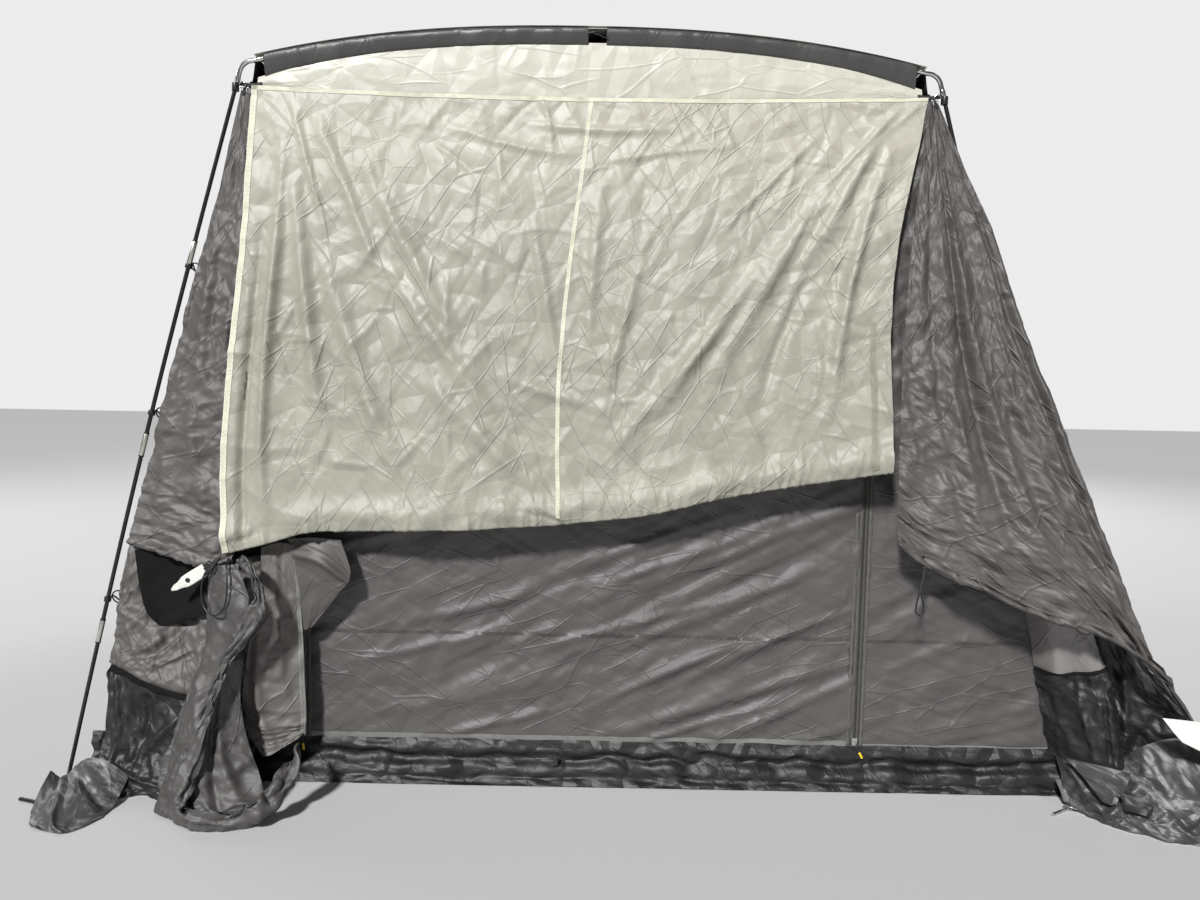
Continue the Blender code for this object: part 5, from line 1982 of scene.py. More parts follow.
@dataclass
class TunnelLeft:
    """Left tunnel wall and what hangs and lies under it."""

    outer: tuple[Point, ...] = (
        (-0.950, -0.0046, 1.937), (-1.000, -0.020, 1.700), (-1.070, -0.030, 1.462), (-1.130, -0.034, 1.230),
        (-1.185, -0.038, 1.020), (-1.232, -0.046, 0.830), (-1.258, -0.060, 0.684))
    inner: tuple[Point, ...] = (
        (-0.920, -0.0046, 1.925), (-0.908, -0.012, 1.700), (-0.910, -0.045, 1.462), (-0.918, -0.062, 1.230),
        (-0.930, -0.080, 1.020), (-0.940, -0.095, 0.830), (-0.945, -0.108, 0.655))
    drops: tuple[float, ...] = (0.0, -0.005, -0.015, -0.035, 0.0)
    hem_folds: int = 34

    def build(self) -> None:
        """Build and dress the left side of the tunnel."""
        self.build_wall()
        self.build_panel()
        self.build_wing()
        self.build_loop()
        self.build_gather()
        self.build_hollow()
        self.build_flaps()

    def build_wall(self) -> None:
        """Grey wall with a ruched hem."""
        cloth = Cloth(hanging_rows(self.outer, self.inner, self.drops, 6, 12), 0.0048, SEED + 111)
        folds = [(0.35, 0.45, 1.50, 0.45, 0.020, 0.008), (0.70, 0.40, 1.62, 0.40, 0.018, 0.008),
                 (0.55, 0.75, 1.30, 0.20, 0.016, 0.006), (0.85, 0.6, 1.57, 0.5, 0.012, 0.007)]
        cloth.fold_at(*folds).scatter(SOFT, PACKING, HEAVY, THIN).crumple(0.0070, 0.10, 4)
        cloth.ridges(0.0120, 0.050, 0.34, 1.50, 0.4).crinkle(1.1)
        w, h, count = cloth.width, cloth.length, self.hem_folds
        draws = (cloth.rng.uniform(low, high, count)
                 for low, high in ((0.1 * w, 0.95 * w), (0.80 * h, 0.98 * h), (0, math.pi)))
        cloth.fold([Fold(float(u), float(v), float(turn), 0.05, 0.010, 0.0045, 0.0, False)
                    for u, v, turn in zip(*draws)])
        cloth.pucker(150, (0.012, 0.05), (0.003, 0.008)).ruche(0.014, 0.022).calm(top=0.05).settle()
        cloth.roll_hem(0.006, 0.014)
        cloth.piece("tunnel_wall_left_cloth", GREY, Hold.GATHERED, ["rear_gable_cloth"], ["tunnel_wall_left"],
                    slack=1.05)

    def build_panel(self) -> None:
        """Crumpled panel and film from the hem to the floor."""
        rows = mm([
            [(-1262, -50, 700), (-1200, -36, 690), (-1130, -26, 680), (-1050, -30, 670), (-985, -60, 660),
             (-930, -80, 660), (-880, -60, 665)],
            [(-1290, -56, 560), (-1238, -60, 560), (-1165, -30, 560), (-1080, -30, 560), (-995, -62, 550),
             (-935, -86, 550), (-880, -60, 555)],
            [(-1303, -60, 450), (-1245, -80, 440), (-1175, -85, 430), (-1095, -65, 425), (-1010, -85, 425),
             (-945, -100, 430), (-885, -70, 440)],
            [(-1316, -66, 346), (-1262, -90, 334), (-1200, -105, 310), (-1120, -110, 285),
             (-1030, -115, 275), (-960, -115, 270), (-890, -80, 270)],
            [(-1322, -80, 240), (-1262, -82, 230), (-1198, -90, 212), (-1125, -115, 200),
             (-1045, -130, 190), (-970, -130, 185), (-895, -95, 180)],
            [(-1332, -92, 130), (-1270, -98, 120), (-1204, -108, 118), (-1130, -130, 115),
             (-1050, -148, 110), (-975, -150, 110), (-900, -115, 105)],
            [(-1345, -118, 60), (-1280, -125, 52), (-1212, -130, 45), (-1135, -150, 45), (-1055, -168, 45),
             (-980, -170, 45), (-905, -135, 42)],
            [(-1352, -200, 3), (-1285, -200, 3), (-1215, -146, 3), (-1136, -172, 3), (-1060, -200, 3),
             (-985, -205, 3), (-905, -165, 3)]])
        upper = Cloth(rows[:4], 0.0046, SEED + 121)
        slants = [(0.12, 0.35, -0.9, 0.10, 0.010, 0.006), (0.2, 0.55, -0.8, 0.10, 0.011, 0.007),
                  (0.28, 0.75, -0.7, 0.11, 0.011, 0.007), (0.45, 0.8, -0.5, 0.09, 0.012, 0.008),
                  (0.55, 0.5, 1.4, 0.16, 0.013, 0.010), (0.70, 0.5, 1.7, 0.17, 0.014, 0.012),
                  (0.88, 0.5, 1.5, 0.17, 0.012, 0.009), (0.35, 0.9, 0.3, 0.12, 0.012, 0.006)]
        upper.fold_at(*slants).scatter(CRISP, replace(MEDIUM, per_metre=110))
        upper.crumple(0.0060, 0.08, 3).crinkle(1.3).calm(top=0.01, bottom=0.008).settle()
        upper.piece("tunnel_panel_left_cloth", GREY, Hold.HUNG, ["tunnel_wall_left_cloth"])
        lower = Cloth(rows[3:], 0.0048, SEED + 122)
        slants = [(0.10, 0.4, 1.5, 0.16, 0.014, 0.012), (0.30, 0.4, 1.8, 0.15, 0.013, -0.012),
                  (0.45, 0.35, 2.3, 0.14, 0.012, 0.012), (0.62, 0.4, 1.7, 0.17, 0.014, 0.012),
                  (0.80, 0.4, 1.5, 0.17, 0.012, -0.010), (0.3, 0.75, 0.2, 0.20, 0.012, 0.014),
                  (0.7, 0.8, -0.2, 0.18, 0.012, 0.012)]
        lower.fold_at(*slants).scatter(replace(MEDIUM, per_metre=90)).crumple(0.0085, 0.09, 3).crinkle(1.3)
        lower.calm(top=0.008).settle().above(FLOOR_GAP)
        lower.tape("tunnel_panel_left_seam", BLACK_SEAM_AND_SHADE, FULL, (0.0, PANEL_SEAM / lower.length))
        # Painted shade: the left film wears the darkened copy of the skirt film.
        lower.piece("tunnel_skirt_left_film", FILM_SHADED, Hold.LAID, ["tunnel_panel_left_cloth"],
                    ["tunnel_skirt_left"])

    def build_wing(self) -> None:
        """Loose wing of cloth beside the left zip."""
        rows = mm([
            [(-882, -86, 690), (-850, -78, 700), (-820, -70, 700), (-796, -64, 695)],
            [(-884, -94, 560), (-850, -87, 560), (-818, -77, 560), (-785, -66, 560)],
            [(-910, -100, 440), (-866, -93, 440), (-822, -83, 440), (-776, -68, 440)],
            [(-926, -108, 330), (-880, -101, 325), (-826, -89, 320), (-772, -70, 320)],
            [(-928, -114, 215), (-880, -107, 210), (-824, -93, 205), (-768, -72, 205)],
            [(-898, -122, 150), (-862, -114, 150), (-818, -100, 158), (-772, -80, 166)],
            [(-868, -128, 112), (-848, -122, 116), (-820, -112, 132), (-784, -94, 150)]])
        cloth = Cloth(rows, 0.0052, SEED + 131)
        level = [(0.5, v, turn, 0.06, 0.008, 0.004, 0.0, False) for v, turn in
                 ((0.36, 0.05), (0.40, -0.04), (0.43, 0.08), (0.26, 0.15), (0.66, -0.5))]
        long_folds = [(0.30, 0.6, 1.45, 0.22, 0.012, 0.009), (0.62, 0.3, 1.57, 0.2, 0.010, 0.005)]
        cloth.fold_at(*level, *long_folds).scatter(replace(CRISP, per_metre=300)).crumple(0.0030, 0.06, 3)
        cloth.ridges(0.0065, 0.030, 0.12, 0.1).ridges(0.0060, 0.034, 0.30, 1.45).crinkle(0.6)
        cloth.calm(right=0.01).settle().above(0.004)
        cloth.tape("tunnel_wing_left_edge", replace(PALE_TAPE, name="grey_edge_binding"),
                   (1.0 - PALE_TAPE.width / cloth.width, 1.0), (0.0, 0.86))
        # Painted light: the wing wears the lightened copy of the grey cloth.
        cloth.piece("tunnel_wing_left_cloth", WING_LIT_CLOTH, Hold.HUNG, ["tunnel_roof_cloth"],
                    ["tunnel_wing_left"])

    def build_loop(self) -> None:
        """Twisted band of gathered cloth that comes down and loops over the floor."""
        path = smooth_path(mm([
            (-914, -150, 672), (-880, -165, 640), (-856, -180, 579), (-863, -190, 533),
            (-897, -200, 464), (-931, -210, 407), (-957, -220, 334), (-980, -235, 259),
            (-1003, -258, 161), (-1018, -280, 91), (-1020, -300, 46), (-990, -318, 28),
            (-935, -322, 27), (-865, -312, 30), (-806, -285, 52), (-775, -245, 92), (-762, -200, 128),
            (-768, -140, 150)]), 170)
        radii = np.interp(np.linspace(0, 1, 170), (0, 0.12, 0.24, 0.30, 0.42, 0.55, 0.68, 0.82, 0.93, 1.0),
                          (0.014, 0.016, 0.014, 0.011, 0.017, 0.022, 0.026, 0.026, 0.020, 0.010))
        sides = 26
        rng = np.random.default_rng(SEED + 141)
        phases = rng.uniform(0, 2 * math.pi, 6)
        rows = []
        for i, (place, radius) in enumerate(zip(path, radii)):
            run = (path[min(i + 1, len(path) - 1)] - path[max(i - 1, 0)]).normalized()
            across = run.cross(Vector((0.15, 1.0, 0.3))).normalized()
            lift = run.cross(across)
            row = []
            for k in range(sides + 1):
                turn = 2 * math.pi * k / sides
                twist = 0.05 * i
                ruffle = (0.20 * math.sin(2 * turn + twist * 3 + phases[0])
                          + 0.16 * math.sin(5 * turn - twist * 4)
                          + 0.12 * math.sin(0.6 * i + 2 * turn + phases[1])
                          + 0.14 * math.sin(0.23 * i + phases[2]))
                r = radius * (1 + ruffle)
                spot = place + across * (1.15 * r * math.cos(turn)) + lift * (0.62 * r * math.sin(turn))
                row.append((spot.x, spot.y, spot.z))
            rows.append(row)
        cloth = Cloth(rows, 0.0042, SEED + 142).firm()
        lines = FoldFamily(700, (0.03, 0.09), (0.004, 0.008), (0.0015, 0.0040), (1.2, 1.5, 1.8), 0.2, 1.0)
        cloth.scatter(lines, replace(CRISP, per_metre=600, half_length=(0.01, 0.03), height=(0.001, 0.003)))
        cloth.ridges(0.0060, 0.016, 0.16, 1.35, 0.8).crumple(0.0060, 0.05, 2).crinkle(0.9)
        cloth.settle().above(0.0008)
        # Painted shade: the loop is dressed in the darkened copy of the grey cloth.
        cloth.piece("tunnel_loop_left_cloth", GREY_SHADED, Hold.FOLDED, ["tunnel_wing_left_cloth"],
                    ["tunnel_loop_left"])

    def build_gather(self) -> None:
        """Folds that hang from the buckle beside the gathered band."""
        rows = mm([
            [(-1012, -112, 645), (-968, -136, 650), (-925, -140, 655)],
            [(-1010, -122, 560), (-955, -156, 560), (-880, -172, 560)],
            [(-1024, -130, 430), (-978, -168, 430), (-915, -190, 440)],
            [(-1056, -148, 320), (-1008, -188, 320), (-958, -208, 325)],
            [(-1090, -172, 200), (-1040, -214, 200), (-990, -238, 205)],
            [(-1108, -196, 100), (-1060, -240, 100), (-1014, -266, 105)],
            [(-1118, -220, 6), (-1072, -262, 6), (-1026, -292, 10)]])
        cloth = Cloth(rows, 0.0050, SEED + 147)
        cloth.ridges(0.0170, 0.030, 0.26, 1.50, 0.6).crumple(0.0050, 0.06, 3).crinkle(1.2)
        cloth.settle().above(FLOOR_GAP)
        # Painted shade: the gathered folds are dressed in the darkened copy of the grey cloth.
        cloth.piece("tunnel_gather_left_cloth", GREY_SHADED, Hold.GATHERED, ["tunnel_wall_left_cloth"],
                    slack=1.2)

    def build_hollow(self) -> None:
        """Near-black sheet behind the raised hem that paints the shade of the hollow, and the folded film
        inside the loop in the darkened grey that paints the bundle's shade.
        """
        rows = mm([
            [(-1246, -60, 672), (-1180, -56, 668), (-1110, -60, 655), (-1040, -84, 640), (-985, -100, 640)],
            [(-1234, -66, 590), (-1180, -56, 590), (-1115, -56, 590), (-1050, -74, 590), (-992, -90, 590)],
            [(-1206, -84, 505), (-1168, -70, 505), (-1120, -70, 505), (-1070, -80, 510), (-1020, -90, 515)],
            [(-1172, -80, 462), (-1158, -78, 462), (-1142, -76, 464), (-1124, -74, 466), (-1108, -72, 470)]])
        cloth = Cloth(rows, 0.0065, SEED + 145)
        cloth.scatter(replace(CRISP, per_metre=150)).crumple(0.003, 0.07, 2).settle()
        # Painted shade: a near-black sheet stands where the hollow under the hem lies in shade.
        cloth.piece("tunnel_lining_left_cloth", BLACK_SEAM_AND_SHADE, Hold.HUNG, ["tunnel_wall_left_cloth"])
        rows = mm([
            [(-945, -196, 400), (-925, -182, 400), (-905, -164, 400)],
            [(-974, -206, 300), (-945, -184, 300), (-912, -170, 300)],
            [(-998, -232, 190), (-950, -204, 190), (-890, -184, 190)],
            [(-1004, -256, 100), (-940, -236, 100), (-850, -204, 100)],
            [(-996, -282, 30), (-920, -276, 28), (-820, -240, 36)],
            [(-985, -296, 8), (-915, -292, 8), (-815, -260, 20)]])
        cloth = Cloth(rows, 0.0055, SEED + 146)
        folds = [(0.35, 0.55, 1.45, 0.24, 0.012, -0.014), (0.62, 0.6, 1.35, 0.20, 0.012, 0.010)]
        cloth.fold_at(*folds).crumple(0.005, 0.07, 3).crinkle(1.2).settle().above(FLOOR_GAP)
        # Painted shade: the fold wears the darkened copy of the grey cloth.
        cloth.piece("tunnel_fold_left_film", GREY_SHADED, Hold.FOLDED, ["tunnel_loop_left_cloth"])

    def build_flaps(self) -> None:
        """Turned-back flap by the zip and the skirt corner on the floor."""
        rows = mm([
            [(-816, -64, 712), (-740, -75, 718), (-668, -70, 712)],
            [(-800, -68, 640), (-715, -90, 650), (-640, -75, 618)],
            [(-785, -66, 540), (-735, -78, 560), (-675, -70, 560)],
            [(-775, -64, 452), (-765, -66, 456), (-752, -64, 462)]])
        cloth = Cloth(rows, 0.005, SEED + 151)
        cloth.fold_at((0.6, 0.35, 0.55, 0.12, 0.014, 0.010))
        cloth.scatter(replace(CRISP, per_metre=300)).crumple(0.003, 0.06, 2).settle()
        cloth.piece("tunnel_flap_left_cloth", GREY, Hold.HUNG, ["tunnel_wing_left_cloth"])
        rows = mm([
            [(-1460, -128, 60), (-1424, -116, 30), (-1392, -118, 70), (-1352, -120, 94), (-1300, -130, 90),
             (-1240, -130, 52)],
            [(-1448, -200, 30), (-1412, -190, 30), (-1384, -170, 62), (-1340, -180, 72), (-1290, -180, 56),
             (-1240, -170, 26)],
            [(-1426, -262, 10), (-1398, -256, 26), (-1366, -238, 46), (-1330, -240, 48), (-1284, -232, 34),
             (-1236, -214, 10)],
            [(-1402, -305, 3), (-1380, -310, 12), (-1346, -318, 16), (-1316, -322, 16), (-1276, -300, 12),
             (-1240, -252, 3)],
            [(-1392, -318, 2), (-1360, -332, 2), (-1325, -342, 2), (-1290, -346, 2), (-1262, -318, 2),
             (-1238, -266, 2)]])
        cloth = Cloth(rows, 0.004, SEED + 152).firm()
        cloth.fold_at((0.42, 0.5, 1.25, 0.16, 0.012, 0.012), (0.75, 0.4, 0.7, 0.10, 0.012, -0.010))
        cloth.crumple(0.004, 0.07, 2).crinkle(0.6).settle().above(FLOOR_GAP)
        cloth.piece("corner_flap_left_film", FILM_FLAP, Hold.FOLDED, ["tunnel_skirt_left_film"],
                    ["corner_flap_left"])


@dataclass
class TunnelRight:
    """Right tunnel wall, the layer inside it and the film heaped on the floor."""

    inner: tuple[Point, ...] = (
        (0.925, -0.0046, 1.925), (0.900, -0.022, 1.700), (0.880, -0.045, 1.480), (0.865, -0.065, 1.260),
        (0.860, -0.085, 1.060), (0.858, -0.100, 0.880), (0.858, -0.115, 0.737))
    outer: tuple[Point, ...] = (
        (0.948, -0.0046, 1.937), (1.028, -0.020, 1.751), (1.108, -0.042, 1.575), (1.185, -0.080, 1.330),
        (1.290, -0.140, 1.030), (1.400, -0.200, 0.720), (1.500, -0.245, 0.450), (1.720, -0.290, 0.120))
    drops: tuple[float, ...] = (0.0, 0.0, 0.045, 0.067, 0.115, 0.167, 0.163, 0.100, 0.0)

    def build(self) -> None:
        """Build and dress the right side of the tunnel."""
        self.build_wall()
        self.build_inner()
        self.build_heap()

    def build_wall(self) -> None:
        """Grey wall in long fanned folds with a ruched hem."""
        cloth = Cloth(hanging_rows(self.inner, self.outer, self.drops, 12, 14), 0.0050, SEED + 161)
        w, h = cloth.width, cloth.length
        fans = ((0.13, 0.008, 0.026, 0.55), (0.24, -0.008, 0.020, 0.60), (0.34, 0.010, 0.024, 0.50),
                (0.455, -0.026, 0.018, 0.42), (0.53, 0.016, 0.020, 0.45), (0.64, -0.008, 0.024, 0.60),
                (0.74, 0.010, 0.022, 0.50), (0.83, 0.018, 0.018, 0.45), (0.90, -0.020, 0.014, 0.42),
                (0.96, 0.010, 0.012, 0.50))
        folds = [Fold(u * w, place * h, math.pi / 2 + 0.03 * math.sin(20 * u), 0.62 * h, width, height, 0.03)
                 for u, height, width, place in fans]
        cloth.fold(folds).scatter(SOFT, PACKING, HEAVY, THIN).crumple(0.0080, 0.12, 4)
        cloth.ridges(0.0150, 0.060, 0.45, 1.57, 0.4).crinkle(1.2)
        cloth.pucker(120, (0.012, 0.05), (0.004, 0.010)).pucker(25, (0.05, 0.14), (0.006, 0.012))
        cloth.ruche(0.014, 0.022).calm(top=0.05).settle().above(0.02)
        cloth.roll_hem(0.007, 0.016)
        cloth.piece("tunnel_wall_right_cloth", GREY, Hold.GATHERED, ["rear_gable_cloth"],
                    ["tunnel_wall_right"],
                    slack=1.05)

    def build_inner(self) -> None:
        """Layer between the wall and the leg: cloth above, film below a taped seam."""
        rows = mm([
            [(1240, -10, 620), (1272, -78, 620), (1325, -104, 620), (1372, -118, 620), (1395, -105, 620),
             (1402, -70, 620)],
            [(1276, -10, 510), (1300, -82, 510), (1346, -108, 512), (1388, -122, 514), (1408, -110, 514),
             (1414, -75, 512)],
            [(1306, -10, 372), (1330, -86, 376), (1372, -98, 386), (1400, -130, 398), (1424, -140, 410),
             (1446, -120, 412)],
            [(1324, -8, 300), (1352, -50, 302), (1386, -106, 310), (1416, -138, 320), (1442, -150, 330),
             (1466, -130, 330)],
            [(1342, -8, 210), (1368, -54, 210), (1404, -110, 215), (1434, -142, 220), (1462, -154, 225),
             (1486, -134, 225)],
            [(1366, -10, 112), (1392, -56, 112), (1426, -114, 114), (1456, -144, 116), (1484, -156, 118),
             (1508, -136, 118)]])
        upper = Cloth(rows[:3], 0.006, SEED + 171)
        upper.scatter(replace(CRISP, per_metre=380)).crumple(0.0026, 0.07, 3).calm(bottom=0.008).settle()
        pale = replace(GREY, name="pale_grey_cloth", colour=(0.19, 0.18, 0.175),
                       low_colour=(0.19, 0.18, 0.175), roughness=0.34)
        upper.piece("tunnel_inner_right_cloth", pale, Hold.HUNG, ["tunnel_wall_right_cloth"])
        lower = Cloth(rows[2:], 0.0055, SEED + 172)
        folds = [(0.45, 0.5, 1.5, 0.2, 0.010, 0.010), (0.7, 0.5, 1.62, 0.2, 0.012, -0.010),
                 (0.25, 0.6, 1.4, 0.14, 0.010, 0.006)]
        lower.fold_at(*folds).crumple(0.0060, 0.08, 3).crinkle(1.0).calm(top=0.008).settle()
        lower.tape("tunnel_inner_right_seam", BLACK_SEAM_AND_SHADE, FULL, (0.0, PANEL_SEAM / lower.length))
        lower.piece("tunnel_inner_right_film", FILM, Hold.HUNG, ["tunnel_inner_right_cloth"],
                    ["tunnel_inner_right"])
        rows = mm([
            [(1400, -60, 560), (1470, -90, 520), (1530, -130, 440), (1580, -180, 380)],
            [(1424, -62, 430), (1490, -95, 400), (1560, -140, 350), (1640, -200, 300)],
            [(1450, -66, 300), (1525, -110, 290), (1610, -170, 270), (1690, -215, 240)],
            [(1480, -70, 200), (1560, -120, 200), (1640, -180, 195), (1715, -225, 180)],
            [(1500, -80, 110), (1580, -130, 110), (1660, -190, 110), (1735, -235, 110)]])
        back = Cloth(rows, 0.007, SEED + 173)
        folds = [(0.3, 0.5, 1.9, 0.2, 0.014, 0.016), (0.55, 0.5, 2.2, 0.2, 0.014, -0.014),
                 (0.75, 0.6, 1.8, 0.2, 0.014, 0.012)]
        back.fold_at(*folds).crumple(0.0080, 0.09, 3).crinkle(1.2).settle()
        back.piece("tunnel_back_right_film", FILM, Hold.HUNG, ["tunnel_wall_right_cloth"])

    def build_heap(self) -> None:
        """Film skirt that falls from the layer and spreads over the floor."""
        rows = mm([
            [(1376, -12, 125), (1430, -70, 130), (1500, -120, 150), (1535, -155, 200), (1605, -190, 240),
             (1680, -220, 222), (1740, -240, 200)],
            [(1372, -55, 85), (1420, -120, 95), (1480, -170, 105), (1550, -215, 120), (1620, -245, 150),
             (1690, -265, 150), (1760, -280, 130)],
            [(1370, -85, 45), (1412, -145, 60), (1470, -200, 75), (1545, -245, 70), (1620, -270, 85),
             (1700, -290, 90), (1770, -305, 80)],
            [(1373, -100, 18), (1410, -165, 28), (1465, -225, 35), (1530, -268, 35), (1610, -298, 40),
             (1690, -315, 40), (1775, -328, 30)],
            [(1378, -106, 3), (1412, -175, 3), (1470, -238, 3), (1540, -280, 3), (1614, -306, 3),
             (1700, -325, 3), (1785, -338, 3)]])
        cloth = Cloth(rows, 0.0055, SEED + 181).firm()
        folds = [(0.15, 0.5, 1.0, 0.12, 0.014, 0.012), (0.35, 0.5, 2.2, 0.14, 0.012, 0.014),
                 (0.55, 0.5, 0.9, 0.16, 0.014, -0.012), (0.75, 0.5, 2.3, 0.16, 0.014, 0.014),
                 (0.9, 0.5, 1.2, 0.14, 0.012, 0.010)]
        cloth.fold_at(*folds).scatter(replace(MEDIUM, per_metre=60)).crumple(0.0130, 0.12, 3).crinkle(1.2)
        cloth.calm(top=0.01).settle().above(FLOOR_GAP)
        cloth.piece("tunnel_skirt_right_film", FILM_GREY, Hold.LAID, ["tunnel_inner_right_film"],
                    ["tunnel_skirt_right"])
        rows = mm([
            [(1372, -88, 134), (1430, -140, 140), (1494, -186, 138)],
            [(1392, -142, 104), (1438, -184, 100), (1466, -210, 104)],
            [(1410, -206, 68), (1424, -220, 66), (1436, -224, 70)]])
        fold = Cloth(rows, 0.005, SEED + 182)
        fold.scatter(replace(CRISP, per_metre=200)).crumple(0.002, 0.06, 2).settle().above(FLOOR_GAP)
        fold.piece("heap_fold_right_film", FILM_GREY, Hold.FOLDED, ["tunnel_skirt_right_film"])
        rows = mm([
            [(1432, -232, 108), (1470, -248, 104), (1510, -262, 98)],
            [(1440, -246, 90), (1474, -262, 84), (1506, -272, 80)],
            [(1448, -250, 66), (1476, -264, 64), (1498, -274, 62)]])
        fold = Cloth(rows, 0.004, SEED + 183)
        fold.scatter(replace(CRISP, per_metre=500)).crumple(0.004, 0.04, 2).settle()
        fold.piece("heap_small_fold_film", FILM, Hold.FOLDED, ["tunnel_skirt_right_film"])


@dataclass
class DoorZip:
    """One upright zip of the rear door with its slider and pull."""

    side: Side
    low: float = 0.122
    high: float = 1.620
    tape: float = 0.026
    face: float = 0.0023
    tape_t: float = 0.0020
    coil_w: float = 0.0054
    coil_t: float = 0.0028
    pitch: float = 0.0034
    slider_z: float = 0.124
    slider_h: float = 0.024
    slider_w: float = 0.016
    middle: float = 0.800
    flange_shift: float = 0.019
    flange_width: float = 0.010
    flange_t: float = 0.0014
    tooth_share: float = 0.62
    shell_t: float = 0.0034
    cheek: tuple[float, float, float] = (0.0062, 0.0026, 0.0032)
    bridge_r: float = 0.0014
    tab_size: Point = (0.0095, 0.0026, 0.024)
    pull_size: Point = (0.0072, 0.0034, 0.021)
    ring_r: float = 0.0036
    ring_wire: float = 0.0011

    @property
    def x(self) -> float:
        """Middle of the zip."""
        return self.side.value * self.middle

    @property
    def body(self) -> Body:
        """Body of this zip's slider."""
        return Body.SLIDER_LEFT if self.side is Side.LEFT else Body.SLIDER_RIGHT

    def build(self) -> None:
        """Build and dress the zip."""
        front = -(self.face + self.tape_t)
        path = [Vector((self.x, front + 0.001, z)) for z in np.linspace(self.high, self.low, 60)]
        strap(f"zip_{self.side.word}_tape", path, Vector((1, 0, 0)), self.tape, self.tape_t, ZIP_TAPE,
              stands_for=[f"zip_{self.side.word}"])
        self.build_coil(front)
        self.build_flanges()
        self.build_slider(front)

    def build_flanges(self) -> None:
        """Stitched flanges of the panels on both sides of the tape."""
        for word, shift in (("inner", -1), ("outer", 1)):
            x = self.x + shift * self.flange_shift
            path = [Vector((x + 0.0008 * math.sin(70 * z), -0.0046 - 0.0006 * math.sin(160 * z), z))
                    for z in np.linspace(self.high, self.low, 300)]
            finish = replace(ZIP_TAPE, name="grey_flange", width=self.flange_width,
                             colour=(0.10, 0.095, 0.09))
            strap(f"zip_{self.side.word}_{word}_flange", path, Vector((1, 0, 0)), self.flange_width,
                  self.flange_t, finish)

    def build_coil(self, front: float) -> None:
        """Row of moulded teeth, one modelled and the rest copied into one mesh."""
        deselect_all()
        bpy.ops.mesh.primitive_cube_add(size=1.0, location=(0, 0, 0))
        tooth = name_new(f"zip_{self.side.word}_coil")
        tooth.scale = (self.coil_w, self.coil_t, self.pitch * self.tooth_share)
        apply_place(tooth)
        bevel_edges(tooth, 0.0005, 1)
        rows = tooth.modifiers.new("row", "ARRAY")
        rows.count = int((self.high - self.low - 0.01) / self.pitch)
        rows.use_relative_offset = False
        rows.use_constant_offset = True
        rows.constant_offset_displace = (0.0, 0.0, self.pitch)
        activate(tooth)
        bpy.ops.object.modifier_apply(modifier=rows.name)
        tooth.location = (self.x, front - self.coil_t / 2, self.low + 0.004)
        apply_place(tooth)
        hand_over(tooth, ZIP_COIL)

    def build_slider(self, front: float) -> None:
        """Cast slider with its bridge, black tab and yellow pull."""
        body, word = self.body, self.side.word
        far = front - self.coil_t - 0.0006
        z = self.slider_z + self.slider_h / 2
        plain = Matrix.Identity(3)
        shell = block(f"slider_{word}_shell", Vector((self.x, far - 0.0018, z)),
                      Vector((self.slider_w, self.shell_t, self.slider_h)), plain, 0.0012, taper=0.72)
        hand_over(shell, BRIGHT_STEEL, body, [f"slider_{word}"])
        apart, width, deep = self.cheek
        for name, shift in (("left", -1), ("right", 1)):
            wall = block(f"slider_{word}_{name}_wall", Vector((self.x + shift * apart, front - 0.0020, z)),
                         Vector((width, deep, self.slider_h * 0.96)), plain, 0.0008)
            hand_over(wall, BRIGHT_STEEL, body)
        bridge = smooth_path([(self.x, far - 0.003, z + 0.008), (self.x, far - 0.0068, z + 0.004),
                              (self.x, far - 0.0068, z - 0.003), (self.x, far - 0.003, z - 0.007)], 14)
        hand_over(bent_bar(f"slider_{word}_bridge", bridge, self.bridge_r, 4), BRIGHT_STEEL, body)
        lean = 0.5 if self.side is Side.RIGHT else 0.1
        turn = Matrix.Rotation(-lean, 3, "Y")
        ring_place = Vector((self.x, far - 0.0074, z - 0.006))
        link = ring(f"slider_{word}_ring", ring_place, Vector((1, 0.2, 0)), self.ring_r, self.ring_wire)
        hand_over(link, BRIGHT_STEEL, body)
        down = turn @ Vector((0, 0, -1))
        tab = block(f"slider_{word}_tab", ring_place + down * 0.017 + Vector((0, -0.001, 0)),
                    Vector(self.tab_size), turn, 0.0011, taper=0.8)
        hand_over(tab, BLACK_PLASTIC, body)
        pull = block(f"slider_{word}_pull", ring_place + down * 0.036 + Vector((0, -0.001, 0)),
                     Vector(self.pull_size), turn, 0.0015, taper=0.85)
        hand_over(pull, YELLOW_PULL, body)


